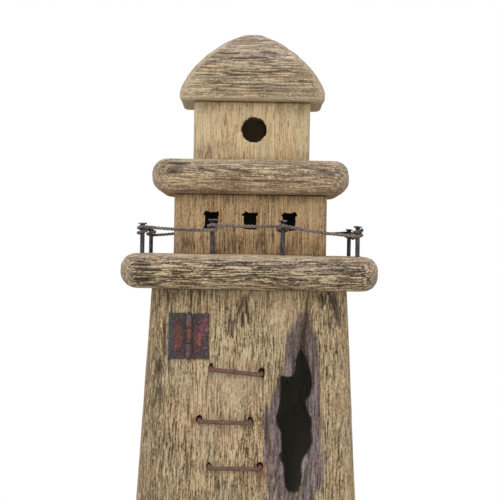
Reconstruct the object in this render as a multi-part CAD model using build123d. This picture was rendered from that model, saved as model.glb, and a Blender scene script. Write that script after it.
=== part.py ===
from build123d import *

import os
from math import atan2, ceil, cos, degrees, dist, pi, radians, sin, sqrt

# Rustic wooden lighthouse ornament: a hollow tapered tower of boards, and a pinned stack of blocks on it.
# Millimetres, +Z up, the front faces -Y, and the origin is at the middle of the base.

# Tower of four boards, with a floor and a top let in between them
TOWER_HEIGHT = 250.0
TOWER_BASE_WIDTH = 138.0
TOWER_TOP_WIDTH = 112.0
TOWER_CORNER_RADIUS = 6.0
BOARD_THICKNESS = 15.0
FLOOR_THICKNESS = 12.0
TOP_BOARD_THICKNESS = 12.0
GLUE_GAP = 0.1

# Brads that hold the boards together, set below the surface
BRAD_SHANK = 1.6
BRAD_HEAD = 2.4
BRAD_HEAD_THICKNESS = 1.0
BRAD_LENGTH = 30.0
BRAD_SET_DEPTH = 0.8
BRAD_END_MARGIN = 35.0
BRADS_PER_EDGE = 4
CROSS_BRAD_SPACING = 44.0

# Knothole in the front board: a dished hollow, and the hole as (across, drop below the tower's top)
KNOT_HOLLOW_CENTRE = 27.0
KNOT_HOLLOW_DROP = 77.0
KNOT_HOLLOW_WIDTH = 32.0
KNOT_HOLLOW_HEIGHT = 140.0
KNOT_HOLLOW_DEPTH = 4.5
KNOT_HOLE_ROUNDING = 1.2
KNOT_HOLE = [
    (29.8, 34.8), (33.2, 38.6), (36.2, 50.0), (35.8, 57.6), (32.9, 63.6), (36.2, 73.0), (36.8, 86.0),
    (31.2, 96.0), (30.8, 108.4), (28.2, 114.2), (25.0, 114.2), (22.7, 107.0), (22.4, 101.0), (20.3, 95.6),
    (20.6, 84.0), (17.4, 74.2), (19.2, 65.0), (19.4, 49.6), (26.4, 49.0), (28.0, 40.0),
]

# Gallery deck and upper deck, slabs with rounded edges
DECK_WIDTH = 146.0
DECK_THICKNESS = 19.5
UPPER_DECK_WIDTH = 113.0
UPPER_DECK_THICKNESS = 19.5
SLAB_CORNER_RADIUS = 12.0
SLAB_EDGE_RADIUS = 8.8

# Watch room block with chiselled windows in its front
WATCH_ROOM_WIDTH = 88.0
WATCH_ROOM_HEIGHT = 35.2
WINDOW_COUNT = 3
WINDOW_WIDTH = 7.0
WINDOW_HEIGHT = 9.4
WINDOW_DEPTH = 12.0
WINDOW_PITCH = 22.4
WINDOW_SILL = 14.8

# Lantern block with a drilled lamp hole in its front
LANTERN_WIDTH = 67.5
LANTERN_HEIGHT = 34.7
LAMP_HOLE_DIAMETER = 14.4
LAMP_HOLE_DEPTH = 30.0
LAMP_HOLE_OFFSET = 1.3
LAMP_HOLE_RISE = 18.1

# Upright edges of both blocks
BLOCK_CORNER_RADIUS = 3.0

# Domed cap: a square dome whose outline narrows as a superellipse
CAP_WIDTH = 84.0
CAP_HEIGHT = 42.0
CAP_RIM_HEIGHT = 4.0
CAP_RIM_RADIUS = 1.6
CAP_ARRIS_RADIUS = 6.0
CAP_FLAT_WIDTH = 9.0
CAP_CURVE_POWER = 1.47
CAP_SECTIONS = 9

# Dowels that pin the stack together
DOWEL_DIAMETER = 8.0
DOWEL_CHAMFER = 0.8
DOWEL_BITE = 11.0
DOWEL_SPACING = 34.0
DOWEL_FIT = 0.05
DOWEL_END_ROOM = 0.5

# Railing nails, driven into the deck as posts
POST_SHANK = 2.6
POST_HEAD = 5.2
POST_HEAD_THICKNESS = 1.2
POST_BITE = 14.0
POST_INSET = 12.0
BACK_CORNER_POST_INSET = 10.6
POST_MIDDLE_SPACING = 39.8
POST_MIDDLE_SHIFT = -1.4
CORNER_POST_RISE = 17.6
MIDDLE_POST_RISE = 20.2

# Every nail and brad: a point some shanks long, and a head with its upper edge chamfered by a share of it
NAIL_POINT_SHANKS = 1.5
NAIL_HEAD_CHAMFER_SHARE = 0.3

# Every nail, brad and staple fits its hole with this gap all round
NAIL_FIT = 0.05

# Railing cord, wound once round each post and tied to one at the back
CORD_DIAMETER = 2.0
CORD_FIT = 0.1
CORD_CORNER_HEAD_ROOM = 0.2
CORD_MIDDLE_HEAD_ROOM = 1.2
CORD_TURN_GAP = 1.0
CORD_TAIL = 6.0
CORD_TIED_POST = 6

# Ladder of wire staples
RUNG_WIRE = 2.6
RUNG_SPAN = 29.0
RUNG_STAND_OFF = 3.0
RUNG_BITE = 9.0
RUNG_BEND_RADIUS = 2.0
RUNG_DROOP = 14.0
RUNG_TILT = 5.3
RUNG_TILT_CHANGE = 0.15
RUNG_PITCH = 27.2
RUNG_LOW_STEP = 1.2
RUNG_FIRST_DROP = 46.5
RUNG_FOOT_ROOM = 28.0
RUNG_CENTRE = -9.6
RUNG_STAGGER = 2.9

# Old butt hinge, nailed flat on the front board
HINGE_CENTRE = -33.9
HINGE_DROP = 27.1
HINGE_HEIGHT = 26.0
HINGE_LEAF_WIDTH = 11.6
HINGE_LEAF_THICKNESS = 1.2
HINGE_BARREL = 4.2
HINGE_KNUCKLES = 3
HINGE_KNUCKLE_GAP = 0.3
HINGE_PIN = 1.8
HINGE_PIN_FIT = 0.05
HINGE_PIN_OVERHANG = 0.6
HINGE_NAIL_SHANK = 1.4
HINGE_NAIL_HEAD = 2.8
HINGE_NAIL_HEAD_THICKNESS = 0.7
HINGE_NAIL_BITE = 9.0
HINGE_NAIL_EDGE = 5.8
HINGE_NAIL_END = 5.1

# A cutter reaches this far past the face that it opens
OVERCUT = 2.0

# A rounding takes up at most this share of the room that its edge has
ROUNDING_SHARE = 0.92

# Levels of the stack
DECK_TOP = TOWER_HEIGHT + DECK_THICKNESS
WATCH_ROOM_TOP = DECK_TOP + WATCH_ROOM_HEIGHT
UPPER_DECK_TOP = WATCH_ROOM_TOP + UPPER_DECK_THICKNESS
LANTERN_TOP = UPPER_DECK_TOP + LANTERN_HEIGHT

# Sides of the tower, in quarter turns from the front
FRONT, RIGHT, BACK, LEFT = range(4)

# How far each side of the tower leans in, in degrees
FACE_LEAN = degrees(atan2(TOWER_BASE_WIDTH - TOWER_TOP_WIDTH, 2 * TOWER_HEIGHT))

# Dowel pairs: the way that the two stand apart, and the levels of their ends
DECK_DOWELS = (Axis.Y, TOWER_HEIGHT - TOP_BOARD_THICKNESS, DECK_TOP + DOWEL_BITE)
UPPER_DOWELS = (Axis.X, WATCH_ROOM_TOP - DOWEL_BITE, UPPER_DECK_TOP + DOWEL_BITE)
CAP_DOWELS = (Axis.X, LANTERN_TOP - DOWEL_BITE, LANTERN_TOP + DOWEL_BITE)

HANGING = (Align.CENTER, Align.CENTER, Align.MAX)
STANDING = (Align.CENTER, Align.CENTER, Align.MIN)


# Shared shapes


def half_width(height):
    """Half the tower's outer width at a height above the ground."""
    share = height / TOWER_HEIGHT
    return (TOWER_BASE_WIDTH + (TOWER_TOP_WIDTH - TOWER_BASE_WIDTH) * share) / 2


def face_place(side, across, height):
    """A place on one of the tower's faces: x runs across it, y up it and z out of it."""
    outward = (0, -cos(radians(FACE_LEAN)), sin(radians(FACE_LEAN)))
    on_front = Plane(origin=(across, -half_width(height), height), x_dir=(1, 0, 0), z_dir=outward)
    return Rot(0, 0, 90 * side) * on_front.location


def front_place(across, drop):
    """A place on the tower's front, at a drop below the tower's top."""
    return face_place(FRONT, across, TOWER_HEIGHT - drop)


def upright_block(width, corner_radius, bottom, height):
    """An upright square block with rounded corners."""
    return Pos(0, 0, bottom) * extrude(RectangleRounded(width, width, corner_radius), height)


def tapered_block(inset, bottom, top):
    """A square block between two levels that follows the tower's taper, inset from its outer faces."""
    low, high = half_width(bottom) - inset, half_width(top) - inset
    outline = make_face(Polyline((-low, bottom), (low, bottom), (high, top), (-high, top), close=True))
    across = extrude(Plane.XZ * outline, TOWER_BASE_WIDTH, both=True)
    return across & extrude(Plane.YZ * outline, TOWER_BASE_WIDTH, both=True)


def let_in_board(bottom, top):
    """A board that fills the tower's hollow between two levels."""
    return tapered_block(BOARD_THICKNESS + GLUE_GAP, bottom, top)


def nail(shank, head, head_thickness, length):
    """A nail that hangs below z = 0, where its head sits, and ends in a cone point."""
    point = NAIL_POINT_SHANKS * shank
    soft_edge = NAIL_HEAD_CHAMFER_SHARE * head_thickness
    outline = Polyline(
        (0, head_thickness),
        (head / 2 - soft_edge, head_thickness),
        (head / 2, head_thickness - soft_edge),
        (head / 2, 0),
        (shank / 2, 0),
        (shank / 2, point - length),
        (0, -length),
        close=True,
    )
    return revolve(Plane.XZ * make_face(outline), Axis.Z)


def bore(diameter, depth):
    """A cutter for a hole that goes down from z = 0."""
    return Pos(0, 0, OVERCUT) * Cylinder(diameter / 2 + NAIL_FIT, depth + OVERCUT, align=HANGING)


# Brads


def brad_places(side):
    """The brads' places on one side: along both edges, or in pairs where a board crosses inside."""
    if side in (FRONT, BACK):
        step = (TOWER_HEIGHT - 2 * BRAD_END_MARGIN) / (BRADS_PER_EDGE - 1)
        heights = [BRAD_END_MARGIN + step * n for n in range(BRADS_PER_EDGE)]
        reaches = [half_width(height) - BOARD_THICKNESS / 2 for height in heights]
    else:
        heights = [FLOOR_THICKNESS / 2, TOWER_HEIGHT - TOP_BOARD_THICKNESS / 2]
        reaches = [CROSS_BRAD_SPACING / 2] * len(heights)
    return [
        face_place(side, way * reach, height) for height, reach in zip(heights, reaches) for way in (-1, 1)
    ]


def brads(side):
    """The brads of one side, driven square to its face."""
    depth = BRAD_SET_DEPTH + BRAD_HEAD_THICKNESS
    one = Pos(0, 0, -depth) * nail(BRAD_SHANK, BRAD_HEAD, BRAD_HEAD_THICKNESS, BRAD_LENGTH)
    return [place * one for place in brad_places(side)]


def brad_holes(side):
    """Cutters for one side's brads: a pocket for each head, and a bore for each shank."""
    pocket = BRAD_SET_DEPTH + BRAD_HEAD_THICKNESS
    head, shank = BRAD_HEAD / 2 + NAIL_FIT, BRAD_SHANK / 2 + NAIL_FIT
    outline = Polyline(
        (0, OVERCUT),
        (head, OVERCUT),
        (head, -pocket),
        (shank, -pocket),
        (shank, -pocket - BRAD_LENGTH),
        (0, -pocket - BRAD_LENGTH),
        close=True,
    )
    one = revolve(Plane.XZ * make_face(outline), Axis.Z)
    return [place * one for place in brad_places(side)]


# Tower


def knot_hollow():
    """The cutter for the dished hollow round the knothole: a long spindle that dips into the front face."""
    spindle_radius = (KNOT_HOLLOW_WIDTH**2 / 4 + KNOT_HOLLOW_DEPTH**2) / (2 * KNOT_HOLLOW_DEPTH)
    axis_height = spindle_radius - KNOT_HOLLOW_DEPTH
    low, high = -KNOT_HOLLOW_HEIGHT / 2, KNOT_HOLLOW_HEIGHT / 2
    outline = ThreePointArc((axis_height, low), (spindle_radius, 0), (axis_height, high))
    outline += Polyline((axis_height, high), (0, high), (0, low), (axis_height, low))
    spindle = revolve(make_face(outline), Axis.Y)
    return front_place(KNOT_HOLLOW_CENTRE, KNOT_HOLLOW_DROP) * Pos(0, 0, axis_height) * spindle


def knot_hole():
    """The cutter for the hole through the front board."""
    along = 1 / cos(radians(FACE_LEAN))
    points = [(across, -drop * along) for across, drop in KNOT_HOLE]
    outline = make_face(FilletPolyline(*points, radius=KNOT_HOLE_ROUNDING, close=True))
    return front_place(0, 0) * Pos(0, 0, OVERCUT) * extrude(outline, -BOARD_THICKNESS - 2 * OVERCUT)


def board_space(side):
    """The space between one outer face of the tower and its hollow, as wide as the tower and wider."""
    base, top = half_width(0), half_width(TOWER_HEIGHT)
    outline = Polyline(
        (-base - OVERCUT, 0),
        (BOARD_THICKNESS - base, 0),
        (BOARD_THICKNESS - top, TOWER_HEIGHT),
        (-top - OVERCUT, TOWER_HEIGHT),
        close=True,
    )
    return Rot(0, 0, 90 * side) * extrude(Plane.YZ * make_face(outline), TOWER_BASE_WIDTH, both=True)


def tower_body():
    """The tower's whole outer form, with rounded upright corners."""
    body = tapered_block(0, 0, TOWER_HEIGHT)
    corners = [edge for edge in body.edges() if abs(edge.tangent_at(0).Z) > 0.5]
    return fillet(corners, TOWER_CORNER_RADIUS)


def front_board():
    """The front board, full width, with its knothole and the holes for brads, rungs and hinge nails."""
    board = tower_body() & board_space(FRONT)
    return board - brad_holes(FRONT) - hinge_nail_holes() - rung_holes() - knot_hollow() - knot_hole()


def back_board():
    """The back board, full width."""
    return (tower_body() & board_space(BACK)) - brad_holes(BACK)


def side_board(side):
    """The left or right board, which stands between the front and the back."""
    board = (tower_body() & board_space(side)) - board_space(FRONT) - board_space(BACK)
    return board - brad_holes(side) - brad_holes(FRONT) - brad_holes(BACK)


def floor_board():
    """The board that closes the tower's foot."""
    return let_in_board(0, FLOOR_THICKNESS) - brad_holes(LEFT) - brad_holes(RIGHT)


def top_board():
    """The board that closes the tower's top and takes the deck's dowels."""
    board = let_in_board(TOWER_HEIGHT - TOP_BOARD_THICKNESS, TOWER_HEIGHT)
    return board - brad_holes(LEFT) - brad_holes(RIGHT) - dowel_holes(DECK_DOWELS)


# Stack of slabs and blocks


def slab(width, bottom, thickness):
    """A square slab with its corners and its upper and lower edges rounded."""
    block = upright_block(width, SLAB_CORNER_RADIUS, bottom, thickness)
    ends = block.faces().sort_by(Axis.Z)
    radius = min(SLAB_EDGE_RADIUS, ROUNDING_SHARE * min(thickness / 2, SLAB_CORNER_RADIUS))
    return fillet(ends[0].edges() + ends[-1].edges(), radius)


def gallery_deck():
    """The deck that carries the railing."""
    deck = slab(DECK_WIDTH, TOWER_HEIGHT, DECK_THICKNESS)
    deck -= [Pos(x, y, DECK_TOP) * bore(POST_SHANK, POST_BITE) for x, y, rise in post_places()]
    return deck - dowel_holes(DECK_DOWELS)


def watch_room():
    """The block on the gallery, with a row of windows cut into its front."""
    block = upright_block(WATCH_ROOM_WIDTH, BLOCK_CORNER_RADIUS, DECK_TOP, WATCH_ROOM_HEIGHT)
    window = Box(
        WINDOW_WIDTH, WINDOW_DEPTH + OVERCUT, WINDOW_HEIGHT, align=(Align.CENTER, Align.MAX, Align.MIN)
    )
    for n in range(WINDOW_COUNT):
        across = WINDOW_PITCH * (n - (WINDOW_COUNT - 1) / 2)
        block -= Pos(across, WINDOW_DEPTH - WATCH_ROOM_WIDTH / 2, DECK_TOP + WINDOW_SILL) * window
    return block - dowel_holes(DECK_DOWELS) - dowel_holes(UPPER_DOWELS)


def upper_deck():
    """The slab between the watch room and the lantern."""
    return slab(UPPER_DECK_WIDTH, WATCH_ROOM_TOP, UPPER_DECK_THICKNESS) - dowel_holes(UPPER_DOWELS)


def lantern():
    """The block under the cap, with a lamp hole drilled into its front."""
    block = upright_block(LANTERN_WIDTH, BLOCK_CORNER_RADIUS, UPPER_DECK_TOP, LANTERN_HEIGHT)
    mouth = Pos(LAMP_HOLE_OFFSET, -LANTERN_WIDTH / 2, UPPER_DECK_TOP + LAMP_HOLE_RISE) * Rot(90, 0, 0)
    block -= mouth * Cylinder(LAMP_HOLE_DIAMETER / 2, 2 * LAMP_HOLE_DEPTH)
    return block - dowel_holes(UPPER_DOWELS) - dowel_holes(CAP_DOWELS)


def superellipse(share):
    """How wide a superellipse still is at a share of its height, and the other way round."""
    return (1 - share**CAP_CURVE_POWER) ** (1 / CAP_CURVE_POWER)


def cap():
    """The domed cap: a square rim with a soft lower edge, and a dome that leaves a small flat on top."""
    rim = upright_block(CAP_WIDTH, CAP_ARRIS_RADIUS, LANTERN_TOP, CAP_RIM_HEIGHT)
    lower_edges = rim.faces().sort_by(Axis.Z)[0].edges()
    rim = fillet(lower_edges, min(CAP_RIM_RADIUS, ROUNDING_SHARE * min(CAP_RIM_HEIGHT, CAP_ARRIS_RADIUS)))
    top_share = superellipse(CAP_FLAT_WIDTH / CAP_WIDTH)
    full_rise = (CAP_HEIGHT - CAP_RIM_HEIGHT) / top_share
    sections = []
    for n in range(CAP_SECTIONS):
        share = top_share * sin(n / (CAP_SECTIONS - 1) * pi / 2)
        width = CAP_WIDTH * superellipse(share)
        outline = RectangleRounded(width, width, min(CAP_ARRIS_RADIUS, ROUNDING_SHARE * width / 2))
        sections.append(Pos(0, 0, LANTERN_TOP + CAP_RIM_HEIGHT + full_rise * share) * outline)
    return rim + loft(sections) - dowel_holes(CAP_DOWELS)


# Dowels


def dowel_places(pair):
    """The two places of a dowel pair, at the level of their lower ends."""
    way, lower, _ = pair
    offsets = [way.direction * DOWEL_SPACING / 2 * sign for sign in (-1, 1)]
    return [Pos(offset.X, offset.Y, lower) for offset in offsets]


def dowels(pair):
    """A pair of dowels with chamfered ends."""
    _, lower, upper = pair
    rod = Cylinder(DOWEL_DIAMETER / 2, upper - lower, align=STANDING)
    rod = chamfer(rod.edges().filter_by(GeomType.CIRCLE), DOWEL_CHAMFER)
    return [place * rod for place in dowel_places(pair)]


def dowel_holes(pair):
    """Cutters for a dowel pair, with room for glue past each end."""
    _, lower, upper = pair
    length = upper - lower + 2 * DOWEL_END_ROOM
    hole = Pos(0, 0, -DOWEL_END_ROOM) * Cylinder(DOWEL_DIAMETER / 2 + DOWEL_FIT, length, align=STANDING)
    return [place * hole for place in dowel_places(pair)]


# Railing


def post_places():
    """Each railing nail as (x, y, rise above the deck), in the order that the cord meets them."""
    edge = DECK_WIDTH / 2 - POST_INSET
    middle = POST_MIDDLE_SPACING / 2
    places = []
    for way, corner_inset in ((-1, POST_INSET), (1, BACK_CORNER_POST_INSET)):
        corner = DECK_WIDTH / 2 - corner_inset
        left_to_right = [
            (-corner, CORNER_POST_RISE),
            (POST_MIDDLE_SHIFT - middle, MIDDLE_POST_RISE),
            (POST_MIDDLE_SHIFT + middle, MIDDLE_POST_RISE),
            (corner, CORNER_POST_RISE),
        ]
        places += [(x, way * edge, rise) for x, rise in left_to_right[::-way]]
    return places


def post(x, y, rise):
    """One railing nail, standing in the deck."""
    neck = rise - POST_HEAD_THICKNESS
    return Pos(x, y, DECK_TOP + neck) * nail(POST_SHANK, POST_HEAD, POST_HEAD_THICKNESS, neck + POST_BITE)


def cord_turns():
    """The cord's turn round each post on its way, as points a quarter turn apart that climb to the head."""
    radius = POST_SHANK / 2 + CORD_FIT + CORD_DIAMETER / 2
    climb = CORD_DIAMETER + CORD_TURN_GAP
    places = post_places()
    per_side = len(places) // 2
    # The cord starts on the back of the tied post and turns a quarter more at each corner
    angle = 90
    turns = []
    for n in range(len(places) + 1):
        index = (CORD_TIED_POST + n) % len(places)
        x, y, rise = places[index]
        at_corner = index % per_side in (0, per_side - 1)
        quarters = 5 if at_corner else 4
        head_room = CORD_CORNER_HEAD_ROOM if at_corner else CORD_MIDDLE_HEAD_ROOM
        top = DECK_TOP + rise - POST_HEAD_THICKNESS - head_room - CORD_DIAMETER / 2
        # It comes back to the tied post at the end, so its last turn there lies two turns lower
        if n == len(places):
            top -= 2 * climb
        turn = []
        for quarter in range(quarters + 1):
            around = radians(angle + 90 * quarter)
            level = top - climb * (quarters - quarter) / 4
            turn.append(Vector(x + radius * cos(around), y + radius * sin(around), level))
        angle += 90 * quarters
        turns.append(turn)
    return turns


def biarc(start, start_way, end, end_way):
    """Two arcs that leave start one way, meet smoothly and reach end the other way."""
    span = end - start
    both = start_way + end_way
    bend = 2 * (1 - start_way.dot(end_way))
    reach = (sqrt(span.dot(both) ** 2 + bend * span.dot(span)) - span.dot(both)) / bend
    first_corner = start + start_way * reach
    second_corner = end - end_way * reach
    middle = (first_corner + second_corner) / 2
    middle_way = (second_corner - first_corner).normalized()
    return [TangentArc(start, middle, tangent=start_way), TangentArc(middle, end, tangent=middle_way)]


def cord_route():
    """The cord's centre line: straight from post to post, with a turn of arcs round each post."""
    turns = cord_turns()
    tail_way = Vector(-1, 0, 0)
    span_ways = [(after[0] - before[-1]).normalized() for before, after in zip(turns, turns[1:])]
    ways = [tail_way] + span_ways + [tail_way]
    edges = [Line(turns[0][0] - tail_way * CORD_TAIL, turns[0][0])]
    for n, turn in enumerate(turns):
        inner_ways = [(after - before).normalized() for before, after in zip(turn, turn[2:])]
        turn_ways = [ways[n]] + inner_ways + [ways[n + 1]]
        for quarter in range(len(turn) - 1):
            edges += biarc(turn[quarter], turn_ways[quarter], turn[quarter + 1], turn_ways[quarter + 1])
        if n + 1 < len(turns):
            edges.append(Line(turn[-1], turns[n + 1][0]))
    edges.append(Line(turns[-1][-1], turns[-1][-1] + tail_way * CORD_TAIL))
    return Wire(edges)


def least_cord_gap(route):
    """The least gap between the cord's turns, measured on points along its centre line."""
    count = ceil(4 * route.length / CORD_DIAMETER)
    points = [tuple(route.position_at(n / count)) for n in range(count + 1)]
    half_turn = ceil(pi * (POST_SHANK + CORD_DIAMETER) / 2 / route.length * count)
    pairs = ((n, m) for n in range(len(points)) for m in range(n + half_turn, len(points)))
    return min(dist(points[n], points[m]) for n, m in pairs) - CORD_DIAMETER


def rail_cord():
    """The railing cord, one unbroken tube."""
    route = cord_route()
    section = Plane(origin=route.position_at(0), z_dir=route.tangent_at(0)) * Circle(CORD_DIAMETER / 2)
    tube = sweep(section, path=route)
    print(f"cord: length {route.length:.1f} mm, least gap between turns {least_cord_gap(route):.2f} mm")
    print(f"cord: volume {tube.volume:.0f} mm3, section times length {section.area * route.length:.0f} mm3")
    return tube


# Ladder


def rung_places():
    """Each rung's place, midway between its holes: x runs along the bar and y out along the drooping legs."""
    count = 1 + int((TOWER_HEIGHT - RUNG_FIRST_DROP - RUNG_FOOT_ROOM) / RUNG_PITCH)
    places = []
    for n in range(count):
        across = RUNG_CENTRE + RUNG_STAGGER * (-1) ** n
        tilt = RUNG_TILT * RUNG_TILT_CHANGE**n
        on_face = front_place(across, RUNG_FIRST_DROP + RUNG_PITCH * n + RUNG_LOW_STEP * (n % 2))
        places.append(on_face * Rot(0, 0, -tilt) * Rot(90 + RUNG_DROOP, 0, 0))
    return places


def rungs():
    """The wire staples: two legs driven into the front board, and a bar between them."""
    half = RUNG_SPAN / 2
    reach = RUNG_STAND_OFF / cos(radians(RUNG_DROOP))
    route = FilletPolyline(
        (-half, -RUNG_BITE), (-half, reach), (half, reach), (half, -RUNG_BITE), radius=RUNG_BEND_RADIUS
    )
    section = Plane(origin=(-half, -RUNG_BITE, 0), z_dir=(0, 1, 0)) * Circle(RUNG_WIRE / 2)
    staple = sweep(section, path=route)
    return [place * staple for place in rung_places()]


def rung_holes():
    """Cutters for the staples' legs."""
    leg = Rot(-90, 0, 0) * bore(RUNG_WIRE, RUNG_BITE)
    return [place * Pos(way * RUNG_SPAN / 2, 0, 0) * leg for place in rung_places() for way in (-1, 1)]


# Hinge


def hinge_place():
    """The middle of the hinge's barrel, on the front board's face."""
    return front_place(HINGE_CENTRE, HINGE_DROP)


def hinge_rod(diameter, length, middle):
    """A round bar along the hinge's barrel."""
    return Pos(0, middle, HINGE_BARREL / 2) * Rot(90, 0, 0) * Cylinder(diameter / 2, length)


def hinge_leaf(way):
    """One leaf, to the left (-1) or the right (1) of the barrel, with every other knuckle rolled from it."""
    root = HINGE_BARREL / 2 + HINGE_KNUCKLE_GAP
    plate_width = HINGE_LEAF_WIDTH - root
    leaf = Pos(way * (root + plate_width / 2), 0, 0) * Box(
        plate_width, HINGE_HEIGHT, HINGE_LEAF_THICKNESS, align=STANDING
    )
    pitch = HINGE_HEIGHT / HINGE_KNUCKLES
    for n in range(HINGE_KNUCKLES):
        if (n % 2 == 0) == (way < 0):
            middle = pitch * (n - (HINGE_KNUCKLES - 1) / 2)
            length = pitch - HINGE_KNUCKLE_GAP
            leaf += hinge_rod(HINGE_BARREL, length, middle)
            leaf += Pos(way * root / 2, middle, 0) * Box(root, length, HINGE_LEAF_THICKNESS, align=STANDING)
    leaf -= hinge_rod(HINGE_PIN + 2 * HINGE_PIN_FIT, 2 * HINGE_HEIGHT, 0)
    leaf = hinge_place() * leaf
    return leaf - hinge_nail_holes()


def hinge_pin():
    """The pin through the knuckles, a little longer than the barrel."""
    return hinge_place() * hinge_rod(HINGE_PIN, HINGE_HEIGHT + 2 * HINGE_PIN_OVERHANG, 0)


def hinge_nail_places():
    """The hinge nails' places, on the outer face of the leaves."""
    across = HINGE_LEAF_WIDTH - HINGE_NAIL_EDGE
    up = HINGE_HEIGHT / 2 - HINGE_NAIL_END
    spots = [(x, y) for x in (-across, across) for y in (-up, up)]
    return [hinge_place() * Pos(x, y, HINGE_LEAF_THICKNESS) for x, y in spots]


def hinge_nails():
    """The nails that hold both leaves to the board."""
    length = HINGE_LEAF_THICKNESS + HINGE_NAIL_BITE
    one = nail(HINGE_NAIL_SHANK, HINGE_NAIL_HEAD, HINGE_NAIL_HEAD_THICKNESS, length)
    return [place * one for place in hinge_nail_places()]


def hinge_nail_holes():
    """Cutters for the hinge nails, through the leaves and into the board."""
    one = bore(HINGE_NAIL_SHANK, HINGE_LEAF_THICKNESS + HINGE_NAIL_BITE)
    return [place * one for place in hinge_nail_places()]


def all_pieces():
    """Every piece under its name, as one shape or as a list of like ones."""
    pieces = {
        "tower_front_board": front_board(),
        "tower_back_board": back_board(),
        "tower_left_board": side_board(LEFT),
        "tower_right_board": side_board(RIGHT),
        "tower_floor_board": floor_board(),
        "tower_top_board": top_board(),
        "front_brads": brads(FRONT),
        "back_brads": brads(BACK),
        "left_brads": brads(LEFT),
        "right_brads": brads(RIGHT),
        "gallery_deck": gallery_deck(),
        "watch_room_block": watch_room(),
        "upper_deck": upper_deck(),
        "lantern_block": lantern(),
        "domed_cap": cap(),
        "deck_dowels": dowels(DECK_DOWELS),
        "upper_deck_dowels": dowels(UPPER_DOWELS),
        "cap_dowels": dowels(CAP_DOWELS),
        "rail_cord": rail_cord(),
        "hinge_left_leaf": hinge_leaf(-1),
        "hinge_right_leaf": hinge_leaf(1),
        "hinge_pin": hinge_pin(),
        "hinge_nails": hinge_nails(),
    }
    for n, place in enumerate(post_places(), start=1):
        pieces[f"rail_nail_{n}"] = post(*place)
    for n, staple in enumerate(rungs(), start=1):
        pieces[f"ladder_rung_{n}"] = staple
    return pieces


def main():
    """Writes each piece to its own file."""
    os.makedirs("parts", exist_ok=True)
    for name, piece in all_pieces().items():
        shapes = piece if isinstance(piece, list) else [piece]
        solids = [solid for shape in shapes for solid in shape.solids()]
        export_step(Compound(solids), f"parts/{name}.step")


main()
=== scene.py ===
from collections import namedtuple
from functools import reduce
from itertools import product
from math import cos, pi, radians, sin

import bmesh
import bpy
import numpy as np
from mathutils import Matrix, Vector


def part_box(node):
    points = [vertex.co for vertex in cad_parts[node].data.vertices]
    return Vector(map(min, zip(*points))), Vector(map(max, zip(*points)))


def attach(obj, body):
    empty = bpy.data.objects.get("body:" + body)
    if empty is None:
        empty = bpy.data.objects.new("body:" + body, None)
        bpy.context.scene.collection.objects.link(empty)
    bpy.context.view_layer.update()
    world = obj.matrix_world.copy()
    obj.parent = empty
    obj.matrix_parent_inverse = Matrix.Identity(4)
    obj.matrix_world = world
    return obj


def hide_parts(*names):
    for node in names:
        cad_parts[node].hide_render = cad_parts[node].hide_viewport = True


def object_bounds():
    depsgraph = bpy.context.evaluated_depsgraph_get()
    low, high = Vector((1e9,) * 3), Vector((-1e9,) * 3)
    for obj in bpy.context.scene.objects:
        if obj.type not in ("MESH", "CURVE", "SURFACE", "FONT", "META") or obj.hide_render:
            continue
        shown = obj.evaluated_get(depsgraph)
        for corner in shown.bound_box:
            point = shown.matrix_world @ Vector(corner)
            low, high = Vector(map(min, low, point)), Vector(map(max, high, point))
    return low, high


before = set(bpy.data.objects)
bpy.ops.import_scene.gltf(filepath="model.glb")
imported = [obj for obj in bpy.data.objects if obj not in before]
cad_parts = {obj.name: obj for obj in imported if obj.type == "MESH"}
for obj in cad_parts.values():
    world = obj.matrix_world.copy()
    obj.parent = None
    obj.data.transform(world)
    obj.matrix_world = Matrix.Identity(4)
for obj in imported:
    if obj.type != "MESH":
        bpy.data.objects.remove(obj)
cad_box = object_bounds()

# A weathered wooden lighthouse ornament
# Sizes are in millimetres, and MM turns them into the frame's metres.
# Across is along X, the front faces -Y, and a point on the front is (across, height).
# Between the two values of a rise something grows from none to all of it, and in a fall it fades.
MM = 0.001
ACROSS, UP = 0, 2

# Factors that turn a place and a seed into a random number, the same in each run
HASH_PLACE = np.array([374761393, 668265263, 1440662683])
HASH_SEED = 362437
HASH_MIX = 1274126177

# Seeds of the pieces, which like ones among them take in steps
TOWER_SEED = 100
WATCH_ROOM_SEED = 200
LANTERN_SEED = 300
DECK_SEED = 400
UPPER_SEED = 440
CAP_SEED = 500
HEAD_SEED = 600
SHANK_SEED = 620
STRAND_SEED = 700
RUNG_SEED = 800
HINGE_SEED = 820
SEED_STEP = 10

# Wood: the edge of the mesh's faces across the grain, and how many times longer they are along it
TOWER_MESH = 0.66
DECK_MESH = 0.6
BLOCK_MESH = 0.5
MESH_STRETCH = 2.0
METAL_MESH = 0.35

# Points of a CAD mesh this near to each other are one, and those this near to its top are at the top
WELD_REACH = 0.001
TOP_REACH = 0.01

# Cutters for holes: how far they stand out of the wood, and the depths where their walls have corners
CUTTER_HEIGHT = 4.0
CUTTER_STEPS = (0.7, 1.6, 3.0, 5.5, 9.0, 13.0)

# How ragged the holes are: how far each one's outline wanders, over what length, and a seed
KNOT_RAGGED = (0.25, 1.6, 31)
WINDOW_RAGGED = (0.6, 1.2, 80)
LAMP_HOLE_RAGGED = (0.4, 0.8, 90)
BRAD_PIT_RAGGED = (0.3, 1.0, 70)
RUNG_PIT_RAGGED = (0.4, 1.5, 50)

# Noise on the wood: how much of it, its wavelengths across and along the grain, and its seed
Swing = namedtuple("Swing", "amount waves seed")

# Patches of noise: wavelengths, seed, and the values between which a patch grows from none to all of it
Patches = namedtuple("Patches", "waves seed low high")

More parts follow.
